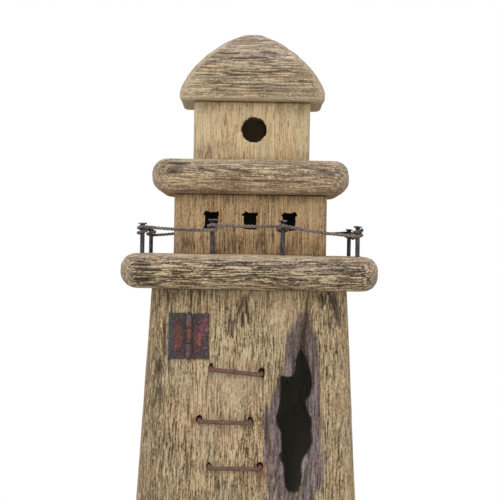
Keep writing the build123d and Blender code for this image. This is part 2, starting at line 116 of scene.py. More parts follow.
# Weather on every wooden face: swells, raised grain, checks, dark dashes, and worn and chipped edges
SWELL = Swing(0.35, (26, 90), 1)
GRAIN = Swing(1.0, (2.6, 60), 2)
FINE_GRAIN = Swing(0.7, (1.3, 26), 10)
CHECKS = Patches((1.7, 24), 4, 0.35, 0.75)
CHECK_PATCHES = Patches((16, 70), 3, 0.5, 1.1)
CHECK_DEPTH = 0.7
DASH_PATCHES = Patches((11, 34), 11, 0.0, 0.8)
DASH_LEVEL = 0.45
EDGE_REACH = 4.0
EDGE_WALL_FADE = 3
EDGE_WEAR = 0.55
EDGE_WEAR_SWING = Swing(0.45, (3, 12), 6)
EDGE_CHIPS = Patches((7, 11), 5, 0.1, 0.8)
EDGE_CHIP_DEPTH = 0.8

# Streaks and blots show on faces that face the front this far; how they wander, taper and fray
FRONT_RISE = (0.2, 0.6)
STREAK_WANDER = Swing(0.8, (9, 9), 7)
STREAK_SWING = Swing(0.5, (2, 6), 8)
STREAK_END_WIDTH = 0.45
STREAK_MIDDLE_WIDTH = 0.55
STREAK_LEAST_WIDTH = 0.1
STREAK_DARKNESS = 0.5
BLOT_FRAY = Swing(0.5, (4, 12), 9)

# Raised grain, brushed deep on the slabs and planed nearly smooth on the blocks: its depth, and how far
# the patches of checks spread
TOWER_GRAIN = (0.3, 0.2)
SLAB_GRAIN = (0.55, 0.45)
BLOCK_GRAIN = (0.14, -0.1)
CAP_GRAIN = (0.34, 0.3)

# Where pieces sit on each other their faces stay as they are, this far from the joint and round the seat
SEAT_REACH = 0.6
SEAT_MARGIN = 1.0

# Blocks: the painted shadow line along their upper edge, under the slab that lies on it, and where holes
# darken with painted shade
JOINT_SHADOW_WIDTH = 1.2
JOINT_SHADOW_DARKNESS = 0.8
BLOCK_INSIDE = (1.0, 3.0)

# Knothole: its outline and the grey weathered hollow round it, as (across, drop below the tower's top)
KNOT_HOLE = [
    (29.9, 33.8), (31.6, 35.6), (33.2, 38.4), (35.0, 43.4), (36.2, 48.6), (36.7, 52.4), (36.4, 56.6),
    (35.3, 60.2), (33.3, 63.2), (33.5, 66.6), (35.1, 70.0), (36.7, 73.6), (36.8, 80.0), (37.2, 84.6),
    (36.8, 87.6), (35.6, 90.2), (33.3, 93.8), (31.6, 96.4), (31.2, 99.0), (31.1, 106.0), (30.6, 110.8),
    (28.6, 114.4), (25.0, 114.6), (23.2, 112.0), (22.2, 107.6), (22.0, 102.0), (21.0, 98.8), (19.5, 95.6),
    (20.0, 92.0), (20.1, 88.4), (19.8, 83.0), (18.6, 78.6), (16.8, 74.6), (17.0, 71.0), (18.4, 65.8),
    (18.8, 59.0), (18.8, 53.6), (19.0, 49.2), (21.9, 49.7), (26.0, 48.8), (27.1, 46.0), (27.6, 42.0),
    (28.2, 38.0),
]
KNOT_ZONE = [
    (34.0, 11.0), (38.0, 22.0), (41.6, 40.0), (42.4, 62.0), (42.6, 90.0), (41.8, 112.0), (31.0, 140.0),
    (14.6, 130.0), (9.6, 99.0), (9.4, 74.0), (14.5, 56.0), (18.8, 48.0), (19.6, 32.0), (26.0, 18.0),
]
KNOT_SPAN_POINTS = 4

# The hollow: its ragged edge, the step down into it, its furrows, and the brown wood kept in it
KNOT_EDGE = Swing(1.2, (5, 22), 20)
KNOT_FRAY = Swing(2.6, (1.4, 18), 21)
KNOT_FADE = 1.4
KNOT_STEP = 0.7
KNOT_STEP_WIDTH = 4.0
KNOT_FURROWS = Patches((1.6, 34), 22, 0.0, 0.8)
KNOT_FURROW_DEPTH = 0.7
KNOT_DARK_FURROWS = Patches((1.6, 34), 22, 0.2, 0.8)
KNOT_FURROW_DARKNESS = 0.8
KNOT_KEPT = Patches((1.6, 34), 23, 0.1, 0.7)
KNOT_KEPT_SHARE = 0.3
KNOT_DARK_RISE = (195.0, 230.0)
KNOT_DARKNESS = 0.7

# Depths in the tower's boards: where painted shade darkens the hole's wall, where it shows the inside, how
# deep the hole is cut, and where the front and the other boards stop taking wear
HOLE_WALL_SHADE = (0.5, 2.0)
HOLE_INSIDE = (13.4, 14.9)
HOLE_CUT_DEPTH = 18.0
FRONT_HELD = (7, 12)
BOARD_HELD = (2, 6)

# Windows of the watch room, cut rougher than the solid's own: an outline round the middle, and its place
WINDOW_OUTLINE = [
    (-3.6, -4.8), (-4.4, -4.5), (-4.1, -3.5), (-3.6, -3.1), (-3.6, 2.6), (-4.5, 3.1), (-4.4, 4.2),
    (-3.5, 4.7), (-3.0, 5.5), (-2.2, 4.9), (2.3, 4.8), (3.0, 5.6), (3.7, 4.9), (4.4, 4.3),
    (4.1, 3.0), (3.6, 2.3), (3.6, -3.4), (4.3, -4.2), (3.7, -5.0), (2.8, -4.8),
]
WINDOW_PITCH = 22.4
WINDOW_MIDDLE = 19.5
WINDOW_DEPTH = 11.8
WINDOW_SPAN_POINTS = 3

# Lamp hole, torn at its edge
LAMP_HOLE_RADIUS = 7.45
LAMP_HOLE_OFFSET = 1.3
LAMP_HOLE_HEIGHT = 18.1
LAMP_HOLE_DEPTH = 29.0
LAMP_HOLE_SIDES = 90

# Railing nails: the shank and its rings, which waver a little, and the head, dented by a hammer
POST_COUNT = 8
POST_SHANK = 2.6
POST_POINT = 3.9
POST_TIP_RADIUS = 0.15
POST_RINGS_START = 6
POST_RINGS = 24
POST_SIDES = 28
POST_WAVER = 0.06
POST_WAVER_WAVES = (1.2, 1.2, 5)
POST_NECK = 0.5
POST_HEAD_THICKNESS = 1.2
HEAD_FILLET = 0.3
HEAD_DENT = 0.35
HEAD_DENT_WAVES = (1.6, 1.6, 1.6)

# Corners of a nail head's profile: under its rim as (inwards, above the underside), over its rim as
# (inwards, below the top), and on its crown as (share of the radius, below the top)
HEAD_UNDER = ((0.25, 0.1), (0.0, 0.4))
HEAD_OVER = ((0.0, 0.6), (0.3, 0.25))
HEAD_CROWN = ((0.65, 0.05), (0.2, 0.0))

# Railing cord: its turns and sags, with the shares of each where it has points, and its strands
CORD_DIAMETER = 2.0
CORD_FIT = 0.1
CORD_CORNER_HEAD_ROOM = 0.2
CORD_MIDDLE_HEAD_ROOM = 1.2
CORD_TURN_GAP = 1.0
CORD_TURN_SHARES = np.linspace(0, 1, 40)
CORD_TAIL = 6.0
CORD_TIED_POST = 6
CORD_SAG = 0.7
CORD_SAG_SHARES = np.linspace(0.1, 0.9, 9)
CORD_LEVEL_POST = 2
STRAND_COUNT = 3
STRAND_TWIST = 6.5
STRAND_RADIUS = 0.52
STRAND_FULLNESS = 0.94
STRAND_SWING = 0.06
STRAND_SWING_WAVES = (2.5, 9)
STRAND_SWING_SHIFT = 50
STRAND_STEP = 0.45
STRAND_SIDES = 7

# Brads: their heads lie this deep in the boards, each at the bottom of a small pit
BRAD_DEPTH = 0.8
BRAD_HEAD = 2.4
BRAD_PIT_RADIUS = 1.1
BRAD_PIT_DEPTH = 1.0
BRAD_PIT_SIDES = 12

# The wood has closed over the front's brads, apart from the one right of and above this corner
FRONT_BRAD_CORNER = (0.0, 180.0)

# Ladder: each leg's hole lies this far below the leg's end inside the board, in a pit that is higher
# than wide and reaches further up than down, and every other pit is larger
RUNG_COUNT = 7
RUNG_WIRE = 2.6
RUNG_LEG_DROP = 1.7
RUNG_PIT_RADIUS = 1.65
RUNG_PIT_DEPTH = 5.0
RUNG_PIT_SIDES = 14
RUNG_PIT_HEIGHT = 1.3
RUNG_PIT_RAISE = 0.35
RUNG_PIT_GROWTH = 0.2

# Rust on metal: wavelengths of its scale and grit, their shares of the pitting, and how deep that is
SCALE_WAVES = (2.2, 2.2, 2.2)
SCALE_RISE = (-0.1, 0.5)
SCALE_SHARE = 0.65
GRIT_WAVES = (0.8, 0.8, 0.8)
GRIT_SHARE = 0.35
RUNG_PITTING = 0.12
HINGE_PITTING = 0.22

# Camera: at the photograph's place, level with the gallery and slightly rolled
CAMERA_PLACE = (0.1, -1140.0, 269.5)
CAMERA_LENS = 137.05
CAMERA_SENSOR = 36.0
CAMERA_REACH = 20000.0
CAMERA_PITCH = 0.15
CAMERA_ROLL = 0.95

# Light: an even white surround of some strength, and square lamps with the length of a side and watts
WHITE = (1, 1, 1, 1)
SKY_STRENGTH = 0.72
Lamp = namedtuple("Lamp", "name place size power")
LAMPS = (Lamp("key", (-500, -1500, 1300), 1100, 12), Lamp("top", (0, -300, 1700), 1200, 7))

# Floor: a disc that fades to white between two radii
FLOOR_RADIUS = 840.0
FLOOR_SIDES = 96
FLOOR_FADE = (240.0, 800.0)

# A dark line in the wood between two points on the front, a soft blot on it, and a patch of old paint
Streak = namedtuple("Streak", "start end width depth")
Blot = namedtuple("Blot", "centre size strength")
Patch = namedtuple("Patch", "centre size shade")

# A slab's streaks, dashes and stains, the least of its dashes and of its bleaching, and how warm its
# lower half is
SlabWeather = namedtuple("SlabWeather", "streaks dashes stains dash_level pale warmth")

TOWER_STREAKS = [
    Streak((34.6, 250), (29.6, 214), 0.9, 1.0),
    Streak((32.4, 230), (29.0, 200), 1.3, 1.2),
    Streak((-2.4, 247), (-6.2, 235), 0.9, 0.9),
    Streak((-1.6, 246), (0.2, 231), 1.0, 0.9),
    Streak((-3.0, 237), (-3.6, 228), 0.8, 0.8),
    Streak((-9.6, 239), (-11.2, 225), 0.8, 0.7),
    Streak((-7.8, 234), (-8.5, 223), 0.8, 0.7),
    Streak((45.0, 250), (52.6, 230), 1.2, 1.0),
    Streak((48.2, 250), (51.2, 236), 1.1, 0.9),
    Streak((41.2, 248), (42.2, 242), 1.2, 0.9),
    Streak((-33.6, 249), (-32.6, 238), 0.8, 0.5),
    Streak((-47.0, 249), (-46.4, 238), 0.9, 0.5),
    Streak((-51.2, 210), (-50.9, 202), 0.9, 1.0),
    Streak((-22.6, 204), (-23.2, 186), 0.5, 0.3),
    Streak((8.2, 206), (8.8, 186), 0.5, 0.3),
    Streak((-58.0, 150), (-60.0, 90), 0.6, 0.3),
    Streak((40.0, 110), (43.0, 50), 0.6, 0.3),
]
TOWER_DASHES = [
    Blot((-49.5, 244), (6, 9), 0.9), Blot((-33, 244), (5, 9), 0.9), Blot((-2.9, 238), (4, 14), 0.9),
    Blot((-9, 230), (4, 11), 0.8), Blot((46.4, 240), (8, 17), 0.9), Blot((5, 245), (3, 5), 0.6),
    Blot((51, 224), (3, 20), 0.6), Blot((-51, 206), (3, 8), 1.0), Blot((-24, 203), (4, 12), 0.6),
    Blot((14, 209), (4, 14), 0.5), Blot((-49, 193), (7, 22), 0.5), Blot((-54, 170), (8, 30), 0.4),
    Blot((-9, 142), (10, 12), 0.4), Blot((-30, 90), (9, 30), 0.5), Blot((22, 60), (8, 26), 0.5),
]
# Darker patches on the tower's front, broad ones down its left side and its right edge
TOWER_DARK_PATCHES = [
    Blot((-56, 190), (18, 60), 0.75), Blot((-58, 110), (22, 70), 0.8), Blot((46, 244), (12, 12), 0.1),
    Blot((-44, 246), (20, 7), 0.4), Blot((56, 140), (12, 90), 0.45),
    Blot((-9, 130), (30, 14), 0.5), Blot((-22, 150), (10, 30), 0.25),
]
TOWER_PALE = [
    Blot((-9, 195), (20, 12), 0.7), Blot((20, 235), (9, 12), 0.5), Blot((-16, 168), (14, 8), 0.3),
]
TOWER_GREY = [
    Blot((47.5, 244.5), (2.2, 4.5), 0.8), Blot((50.0, 237.0), (2.0, 6.0), 0.8),
]
TOWER_RUST = [
    Blot((3.4, 206.8), (2.6, 2.2), 0.8), Blot((-30.0, 176.0), (2.6, 3.4), 0.7),
    Blot((9.6, 147.0), (2.4, 3.2), 0.6),
    Blot((-27.0, 239.0), (2.4, 1.2), 0.7), Blot((-23.6, 238.0), (1.2, 1.8), 0.6),
]
DECK_STREAKS = [
    Streak((-66, 263.5), (-56, 262.8), 0.9, 0.9), Streak((-64, 260.4), (-50, 259.8), 0.9, 0.9),
    Streak((-65, 254.6), (-56, 254.2), 1.0, 0.7), Streak((-67, 257.6), (-58, 257.2), 0.7, 0.7),
    Streak((-30, 256.9), (34, 256.2), 0.4, 0.7),
    Streak((-24, 263.4), (8, 263.2), 0.4, 0.6), Streak((36, 262.0), (62, 261.0), 0.4, 0.5),
]
DECK_DASHES = [
    Blot((-59, 260), (9, 5), 1.0), Blot((13, 263), (10, 3), 0.8), Blot((-13, 256.6), (28, 2.5), 0.8),
    Blot((40, 260), (18, 4), 0.5), Blot((-33, 264), (20, 3), 0.6),
]
DECK_STAINS = [
    Blot((-61, 262), (6, 3), 0.9), Blot((-60, 255), (6, 3), 0.9), Blot((20, 262), (12, 3), 0.4),
]
UPPER_STREAKS = [
    Streak((-47, 321), (-35, 320.6), 0.7, 0.8), Streak((-47, 316.4), (-38, 316.0), 0.6, 0.7),
    Streak((-31, 319), (-18, 315.4), 0.6, 0.7), Streak((-16, 318), (2, 316.4), 0.5, 0.6),
    Streak((30, 319.6), (45, 318), 0.5, 0.6), Streak((-20, 312), (30, 311.4), 0.4, 0.4),
]
UPPER_DASHES = [
    Blot((-14, 320), (22, 3), 0.9), Blot((-44, 319), (9, 5), 0.9), Blot((-6, 312), (30, 3), 0.6),
    Blot((23, 320.5), (18, 3), 0.7),
]
UPPER_STAINS = [
    Blot((-44, 319), (7, 3), 0.4), Blot((-24, 317), (8, 2), 0.3),
]
DECK_WEATHER = SlabWeather(DECK_STREAKS, DECK_DASHES, DECK_STAINS, 0.62, 0.0, 0.0)
UPPER_WEATHER = SlabWeather(UPPER_STREAKS, UPPER_DASHES, UPPER_STAINS, 0.15, 0.35, 0.2)
BLOCK_STAINS = [
    Blot((-37, 275.4), (4, 7), 1.0), Blot((-7.9, 274.4), (4, 6), 1.0), Blot((6.2, 276.4), (4, 8), 1.0),
    Blot((37.8, 271.5), (5, 5), 1.0), Blot((-18, 272), (4, 4), 0.5), Blot((23, 272), (6, 4), 0.5),
]
BLOCK_PALE = [
    Blot((36, 296), (12, 12), 0.7), Blot((-36, 290), (8, 14), 0.4),
]
LANTERN_STAINS = [
    Blot((-27, 329), (5, 5), 0.9), Blot((-19, 333), (5, 3), 0.6), Blot((28, 328), (5, 4), 0.6),
    Blot((0, 325), (16, 2), 0.5), Blot((-24, 357), (4, 5), 0.6), Blot((17, 356.5), (4, 8), 0.7),
    Blot((28, 356), (5, 6), 0.7),
]
CAP_STREAKS = [
    Streak((-25, 368.3), (30, 368.0), 0.6, 0.4), Streak((-20, 366.2), (28, 366.0), 0.6, 0.35),
    Streak((-24, 364.4), (20, 364.2), 0.6, 0.35), Streak((-17, 374.4), (3, 374.0), 0.6, 0.5),
    Streak((-15, 384.7), (9, 384.7), 0.7, 0.6), Streak((-20, 387.5), (-8, 387.6), 0.7, 0.5),
    Streak((4, 388.0), (15, 387.4), 0.7, 0.5), Streak((8, 376.6), (31, 376.2), 0.6, 0.4),
]

# A band of weather, painted shade or painted highlight above or below an edge: how the edge wanders, how far
# in the band is at its full strength, and that strength
ABOVE, BELOW = 1, -1
Band = namedtuple("Band", "mask way edge swing fade strength")

# Edges of the blocks' bands are shares of their height, and so is that of the slabs' grey. The slabs'
# band of wear and painted highlight is measured down from their top, and the cap's bands up from its rim.
# Stain and painted shade at the watch room's foot, where it meets the deck, and painted shade under the upper
# deck
WATCH_ROOM_BANDS = [
    Band("stain", BELOW, 0.16, Swing(0.14, (6, 14), 24), 0.2, 0.6),
    Band("stain", ABOVE, 0.88, Swing(0.1, (6, 14), 24), 0.12, 0.8),
]
# A stain at the lantern's foot, and painted shade under the cap
LANTERN_BANDS = [
    Band("stain", BELOW, 0.06, Swing(0.06, (5, 12), 25), 0.1, 0.6),
    Band("stain", ABOVE, 0.86, Swing(0.2, (3, 60), 26), 0.25, 0.7),
]
SLAB_TOP_WEAR_AND_HIGHLIGHT = Band("wear", BELOW, 3.2, Swing(1.4, (3, 14), 27), 3, 0.9)
SLAB_GREY_BAND = Band("grey", ABOVE, 0.45, Swing(0.35, (5, 40), 28), 0.4, 0.4)
CAP_BANDS = [
    Band("grey", ABOVE, 12, Swing(12, (4, 30), 29), 26, 0.8),
    # Pale bands along the rim: wear and painted highlight on the rounded edge
    Band("wear", BELOW, 3.6, Swing(0.8, (2, 16), 30), 1.2, 0.9),
    Band("wear", BELOW, 10, Swing(4, (2, 16), 30), 6, 0.3),
]

# Dashes on the planed blocks, as a share of those on other wood
WATCH_ROOM_DASHES = 0.4
LANTERN_DASHES = 0.1

# End grain of the slabs and the cap: how far it faces sideways, the checks and dashes that it lacks, and
# how worn and grey it is
SLAB_END_RISE = (0.3, 0.85)
SLAB_END_CHECK_LOSS = 0.4
SLAB_END_DASH_LOSS = 0.6
SLAB_END_GREY = 0.6
CAP_END_RISE = (0.5, 0.9)
CAP_END_GREY = 0.9
END_WEAR = 0.5

# The warmth of a slab's lower half, the cap's worn ridges, and the dashes about half way up the cap
SLAB_WARM_FALL = (0.6, 0.3)
CAP_RIDGE_RISE = (0.84, 0.98)
CAP_RIDGE_START = (6, 14)
CAP_DASH_HEIGHT = 20
CAP_DASH_FALL = (8, 2)
CAP_DASH_LEVEL = 0.6

# Old paint on the hinge, as patches round the hinge's middle on a dark ground
HINGE_GROUND = (60, 45, 46)
HINGE_PAINT = [
    Patch((-10.2, 0), (1.6, 12.5), (54, 57, 64)), Patch((-9.0, -11.0), (3.0, 2.4), (44, 45, 52)),
    Patch((-6.3, -0.5), (2.7, 9.2), (96, 51, 37)), Patch((-6.5, -7.0), (1.6, 1.2), (112, 52, 42)),
    Patch((-6.5, 8.6), (0.8, 1.0), (126, 102, 58)), Patch((0, 9.0), (1.6, 4.6), (92, 84, 88)),
    Patch((0.4, 3.0), (1.5, 4.6), (118, 66, 52)), Patch((-0.4, -7.6), (1.5, 6.0), (82, 70, 78)),
    Patch((1.4, -7.0), (0.5, 5.0), (108, 54, 48)), Patch((4.2, -2.5), (1.9, 9.0), (82, 49, 48)),
    Patch((3.6, 10.2), (1.6, 2.4), (56, 43, 47)), Patch((8.6, 6.5), (2.6, 4.6), (94, 56, 64)),
    Patch((9.8, 9.4), (0.9, 0.8), (144, 72, 64)), Patch((7.2, 5.0), (0.8, 1.6), (134, 66, 66)),
    Patch((10.2, 3.6), (0.7, 1.2), (130, 78, 82)), Patch((5.8, -2.2), (1.3, 3.0), (140, 68, 56)),
    Patch((7.6, 1.0), (0.9, 1.0), (138, 72, 68)), Patch((9.8, -8.6), (2.2, 3.2), (47, 44, 52)),
    Patch((9.4, -6.6), (1.2, 0.4), (96, 88, 94)), Patch((10.2, -9.6), (0.4, 1.0), (88, 82, 88)),
]

# Edges of the patches: how far they fray and over what lengths, and where they end and fade, in sizes
PAINT_FRAY = 0.5
PAINT_FRAY_WAVES = (1.3, 1.3, 1.9)
PAINT_REACH = 1.3
PAINT_FADE = 0.7


def lights_up(values, low, high):
    """0 below low, 1 above high, and a smooth rise between them."""
    share = np.clip((values - low) / (high - low), 0, 1)
    return share * share * (3 - 2 * share)


def noise(points, wavelengths, seed):
    """Smooth random values from -1 to 1 that change over a wavelength along each axis."""
    scaled = points / np.asarray(wavelengths, float)
    cell = np.floor(scaled).astype(np.int64)
    share = scaled - cell
    share = share * share * (3 - 2 * share)
    total = np.zeros(len(points))
    for corner in product((0, 1), repeat=points.shape[1]):
        place = cell + np.array(corner)
        mixed = place @ HASH_PLACE[: len(corner)] + seed * HASH_SEED
        mixed = (mixed ^ (mixed >> 13)) * HASH_MIX
        mixed ^= mixed >> 16
        weight = np.prod(np.where(corner, share, 1 - share), axis=1)
        total += weight * ((mixed & 0xFFFF) / 0x7FFF - 1)
    return total


def grain_waves(grain, waves):
    """Wavelengths for the three axes from those across and along the grain."""
    across, along = waves
    return [along if axis == grain else across for axis in range(3)]


def box_of(node):
    """A CAD node's lowest and highest corners, in millimetres."""
    low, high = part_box(node)
    return np.array(low) / MM, np.array(high) / MM


def colour(red, green, blue):
    """A colour written as it shows on screen, from 0 to 255, for a shader."""
    shares = [value / 255 for value in (red, green, blue)]
    return [v / 12.92 if v <= 0.04045 else ((v + 0.055) / 1.055) ** 2.4 for v in shares] + [1.0]


# Mesh tools


def vectors(members, name):
    """What members of a mesh hold under a name, as rows of three."""
    flat = np.empty(3 * len(members), np.float32)
    members.foreach_get(name, flat)
    return flat.reshape(-1, 3).astype(float)


def coordinates(mesh):
    """A mesh's vertices, in millimetres."""
    return vectors(mesh.vertices, "co") / MM


def vertex_normals(mesh):
    """A mesh's vertex normals."""
    return vectors(mesh.vertex_normals, "vector")


def place_vertices(mesh, points):
    """Moves a mesh's vertices to points in millimetres."""
    mesh.vertices.foreach_set("co", (points * MM).astype(np.float32).ravel())
    mesh.update()


def new_object(name, data):
    """An object in the scene for a mesh, a lamp or a camera."""
    piece = bpy.data.objects.new(name, data)
    bpy.context.scene.collection.objects.link(piece)
    return piece


def mesh_of(name, points, faces):
    """A smooth-shaded mesh of points in millimetres."""
    mesh = bpy.data.meshes.new(name)
    mesh.from_pydata([tuple(point) for point in np.asarray(points) * MM], [], faces)
    mesh.update()
    mesh.shade_smooth()
    return mesh


def write_mask(mesh, name, values):
    """Gives each vertex a value from 0 to 1 that a material can read."""
    attribute = mesh.attributes.new(name, "FLOAT", "POINT")
    attribute.data.foreach_set("value", np.clip(values, 0, 1).astype(np.float32))


def circle(count):
    """Points on a circle of radius 1."""
    angles = np.arange(count) / count * 2 * pi
    return np.column_stack([np.cos(angles), np.sin(angles)])


def ring_faces(rings, count):
    """Faces that join rings of a count of points each, and close the first and the last one."""
    last = (rings - 1) * count
    faces = [tuple(reversed(range(count))), tuple(range(last, last + count))]
    for start in range(0, last, count):
        for n in range(count):
            here, beside = start + n, start + (n + 1) % count
            faces.append((here, beside, beside + count, here + count))
    return faces


def apply_modifiers(piece):
    """Gives a piece the mesh that its modifiers make."""
    evaluated = piece.evaluated_get(bpy.context.evaluated_depsgraph_get())
    mesh = bpy.data.meshes.new_from_object(evaluated)
    piece.modifiers.clear()
    piece.data = mesh


def weld(mesh):
    """Joins a mesh's faces where their corners meet."""
    solid = bmesh.new()
    solid.from_mesh(mesh)
    bmesh.ops.remove_doubles(solid, verts=solid.verts, dist=WELD_REACH * MM)
    solid.to_mesh(mesh)
    solid.free()


def dense_copy(node, size, grain=None, cutters=()):
    """A closed, finely meshed copy of a CAD node less the cutters, with faces drawn out along the grain."""
    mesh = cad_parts[node].data.copy()
    weld(mesh)
    piece = new_object(f"{node}_worn", mesh)
    stretch = Matrix.Identity(4)
    if grain is not None:
        stretch[grain][grain] = MESH_STRETCH
    mesh.transform(stretch.inverted())
    remesh = piece.modifiers.new("remesh", "REMESH")
    remesh.mode = "VOXEL"
    remesh.voxel_size = size * MM
    apply_modifiers(piece)
    piece.data.transform(stretch)
    if cutters:
        cut_out(piece, cutters)
    piece.data.materials.clear()
    piece.data.shade_smooth()
    return piece


def cut_out(piece, cutters):
    """Cuts meshes that don't touch each other out of a piece."""
    solid = bmesh.new()
    for mesh in cutters:
        solid.from_mesh(mesh)
    bmesh.ops.recalc_face_normals(solid, faces=solid.faces)
    together = bpy.data.meshes.new("cutters")
    solid.to_mesh(together)
    solid.free()
    tool = new_object("cutters", together)
    cut = piece.modifiers.new("cut", "BOOLEAN")
    cut.operation = "DIFFERENCE"
    cut.solver = "EXACT"
    cut.object = tool
    apply_modifiers(piece)
    bpy.data.objects.remove(tool)


def prism(outline, place, depth):
    """A closed cutter: an outline drawn on a place, sunk in steps to a depth below it and raised above it."""
    levels = [CUTTER_HEIGHT, *(-step for step in CUTTER_STEPS if step < depth), -depth]
    points = np.vstack([np.column_stack([outline, np.full(len(outline), level)]) for level in levels])
    mesh = mesh_of("cutter", points, ring_faces(len(levels), len(outline)))
    mesh.transform(place)
    return mesh


def front_place(across, depth, height, lean=0.0):
    """A place on a front that leans back by an angle: x runs across, y up, and z out of the front."""
    turn = Matrix.Rotation(pi / 2 - lean, 4, "X")
    return Matrix.Translation(Vector((across, depth, height)) * MM) @ turn


def closed_curve(points, per_span):
    """A smooth closed curve through points."""
    points = np.asarray(points, float)
    before, after, later = np.roll(points, 1, 0), np.roll(points, -1, 0), np.roll(points, -2, 0)
    curve = []
    for a, b, c, d in zip(before, points, after, later):
        for share in np.arange(per_span) / per_span:
            curve.append(
                0.5 * (2 * b + (c - a) * share + (2 * a - 5 * b + 4 * c - d) * share**2)
                + 0.5 * (3 * b - a - 3 * c + d) * share**3
            )
    return np.array(curve)


def roughened(outline, ragged, number=0):
    """An outline whose points wander at random, in another way for each number."""
    amount, wave, seed = ragged
    shifts = [noise(outline, (wave, wave), seed + number + n) for n in range(2)]
    return outline + amount * np.column_stack(shifts)


def from_line(points, start, end):
    """How far flat points lie from a line between two points, and how far along it, from 0 to 1."""
    way = end - start
    share = np.clip((points - start) @ way / (way @ way), 0, 1)
    return np.linalg.norm(points - start - share[:, None] * way, axis=1), share


def distance_inside(points, outline):
    """How far each flat point lies inside a closed outline, and less than 0 outside it."""
    nearest = np.full(len(points), np.inf)
    inside = np.zeros(len(points), bool)
    for start, end in zip(outline, np.roll(outline, -1, 0)):
        nearest = np.minimum(nearest, from_line(points, start, end)[0])
        crosses = (start[1] > points[:, 1]) != (end[1] > points[:, 1])
        # No height crosses a level line, so its rise may be any number but 0
        run, rise = end - start
        at = start[0] + (points[:, 1] - start[1]) / (rise or 1.0) * run
        inside ^= crosses & (points[:, 0] < at)
    return np.where(inside, nearest, -nearest)


# Weathered wood


class Weather:
    """What the weather did to a piece, and the shade and highlight painted on it: how deep each vertex has
    sunk, and masks for its material.
    """

    MASKS = ("check", "wear", "grey", "stain", "inside", "rust", "dash")

    def __init__(self, piece, grain, seed):
        self.piece = piece
        self.points = coordinates(piece.data)
        self.normals = vertex_normals(piece.data)
        self.front = lights_up(-self.normals[:, 1], *FRONT_RISE)
        self.flat = self.points[:, (0, 2)]
        self.grain = grain
        self.seed = seed
        self.depth = np.zeros(len(self.points))
        for mask in self.MASKS:
            setattr(self, mask, np.zeros(len(self.points)))

    def noise(self, waves, seed):
        """Noise drawn out along the piece's grain."""
        return noise(self.points, grain_waves(self.grain, waves), self.seed + seed)

    def swing(self, kind):
        """Noise of a kind, as strong as that says."""
        return kind.amount * self.noise(kind.waves, kind.seed)

    def patches(self, kind, spread=0.0):
        """Patches of noise from 0 to 1, which a spread makes larger."""
        return lights_up(self.noise(kind.waves, kind.seed), kind.low - spread, kind.high - spread)

    def deepen(self, mask, values):
        """Raises a mask to values where they are higher."""
        setattr(self, mask, np.maximum(getattr(self, mask), values))

    def add_grain(self, depth, checks):
        """Swells, raised grain of a depth, checks where the wood has split, and patches of dark dashes."""
        ridges = self.swing(GRAIN) + self.swing(FINE_GRAIN)
        split = self.patches(CHECKS) * self.patches(CHECK_PATCHES, checks)
        self.deepen("check", split)
        self.deepen("dash", DASH_LEVEL * self.patches(DASH_PATCHES))
        self.depth += self.swing(SWELL) / 2 + depth * ridges / 2 + CHECK_DEPTH * split

    def add_edge_wear(self, half):
        """Pale, chipped upright edges on a square of some half width, and how deep each vertex lies in it."""
        reach = np.abs(self.points[:, :2])
        below = half - reach.max(axis=1)
        edge_distance = half - reach.min(axis=1) + EDGE_WALL_FADE * below
        near = np.exp(-np.maximum(edge_distance, 0) / EDGE_REACH)
        self.deepen("wear", near * (EDGE_WEAR + self.swing(EDGE_WEAR_SWING)))
        self.depth += EDGE_CHIP_DEPTH * (self.patches(EDGE_CHIPS) * near)
        return below

    def add_streaks(self, streaks):
        """Dark lines on the front, thinner towards their ends."""
        across = 1 if self.grain == ACROSS else 0
        flat = self.flat.copy()
        flat[:, across] += self.swing(STREAK_WANDER)
        uneven = 1 + self.swing(STREAK_SWING)
        for streak in streaks:
            distance, share = from_line(flat, np.array(streak.start), np.array(streak.end))
            taper = STREAK_END_WIDTH + STREAK_MIDDLE_WIDTH * np.sin(pi * share)
            width = np.maximum(streak.width * taper * uneven, STREAK_LEAST_WIDTH)
            line = np.exp(-((distance / width) ** 2)) * self.front
            self.deepen("check", np.minimum(1, STREAK_DARKNESS + streak.depth) * line)
            self.depth += streak.depth * line

    def add_blots(self, mask, blots):
        """Soft ragged blots on the front, in one of the masks."""
        ragged = 1 + self.swing(BLOT_FRAY)
        for blot in blots:
            offset = (self.flat - np.array(blot.centre)) / np.array(blot.size)
            spread = np.exp(-np.sum(offset**2, axis=1) * ragged)
            self.deepen(mask, blot.strength * spread * self.front)

    def add_bands(self, heights, *bands):
        """Bands in their masks, from the height at which each vertex lies."""
        for band in bands:
            inwards = band.way * (heights - band.edge) + self.swing(band.swing)
            self.deepen(band.mask, band.strength * lights_up(inwards, 0, band.fade))

    def finish(self, held):
        """Sinks each vertex by the share of its depth that isn't held, and writes the masks."""
        moved = self.points - self.normals * (self.depth * (1 - held))[:, None]
        lowest, highest = (np.array(corner) / MM for corner in cad_box)
        place_vertices(self.piece.data, np.clip(moved, lowest, highest))
        for mask in self.MASKS:
            write_mask(self.piece.data, mask, getattr(self, mask))
        return self.piece


def seated(points, level, half=np.inf):
    """1 at the vertices that lie on a level seat, a square of some half width, and 0 elsewhere."""
    near = np.abs(points[:, 2] - level) < SEAT_REACH
    return near * lights_up(half + SEAT_MARGIN - np.abs(points[:, :2]).max(axis=1), 0, SEAT_MARGIN)


# Tower


def tower_form():
    """The tower's height, and half its width at the base and at the top, in millimetres."""
    points = coordinates(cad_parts["tower_front_board"].data)
    height = points[:, 2].max()
    top = points[points[:, 2] > height - TOP_REACH]
    return height, points[:, 0].max(), top[:, 0].max()


TOWER_HEIGHT, TOWER_BASE_HALF, TOWER_TOP_HALF = tower_form()
TOWER_LEAN = np.arctan2(TOWER_BASE_HALF - TOWER_TOP_HALF, TOWER_HEIGHT)


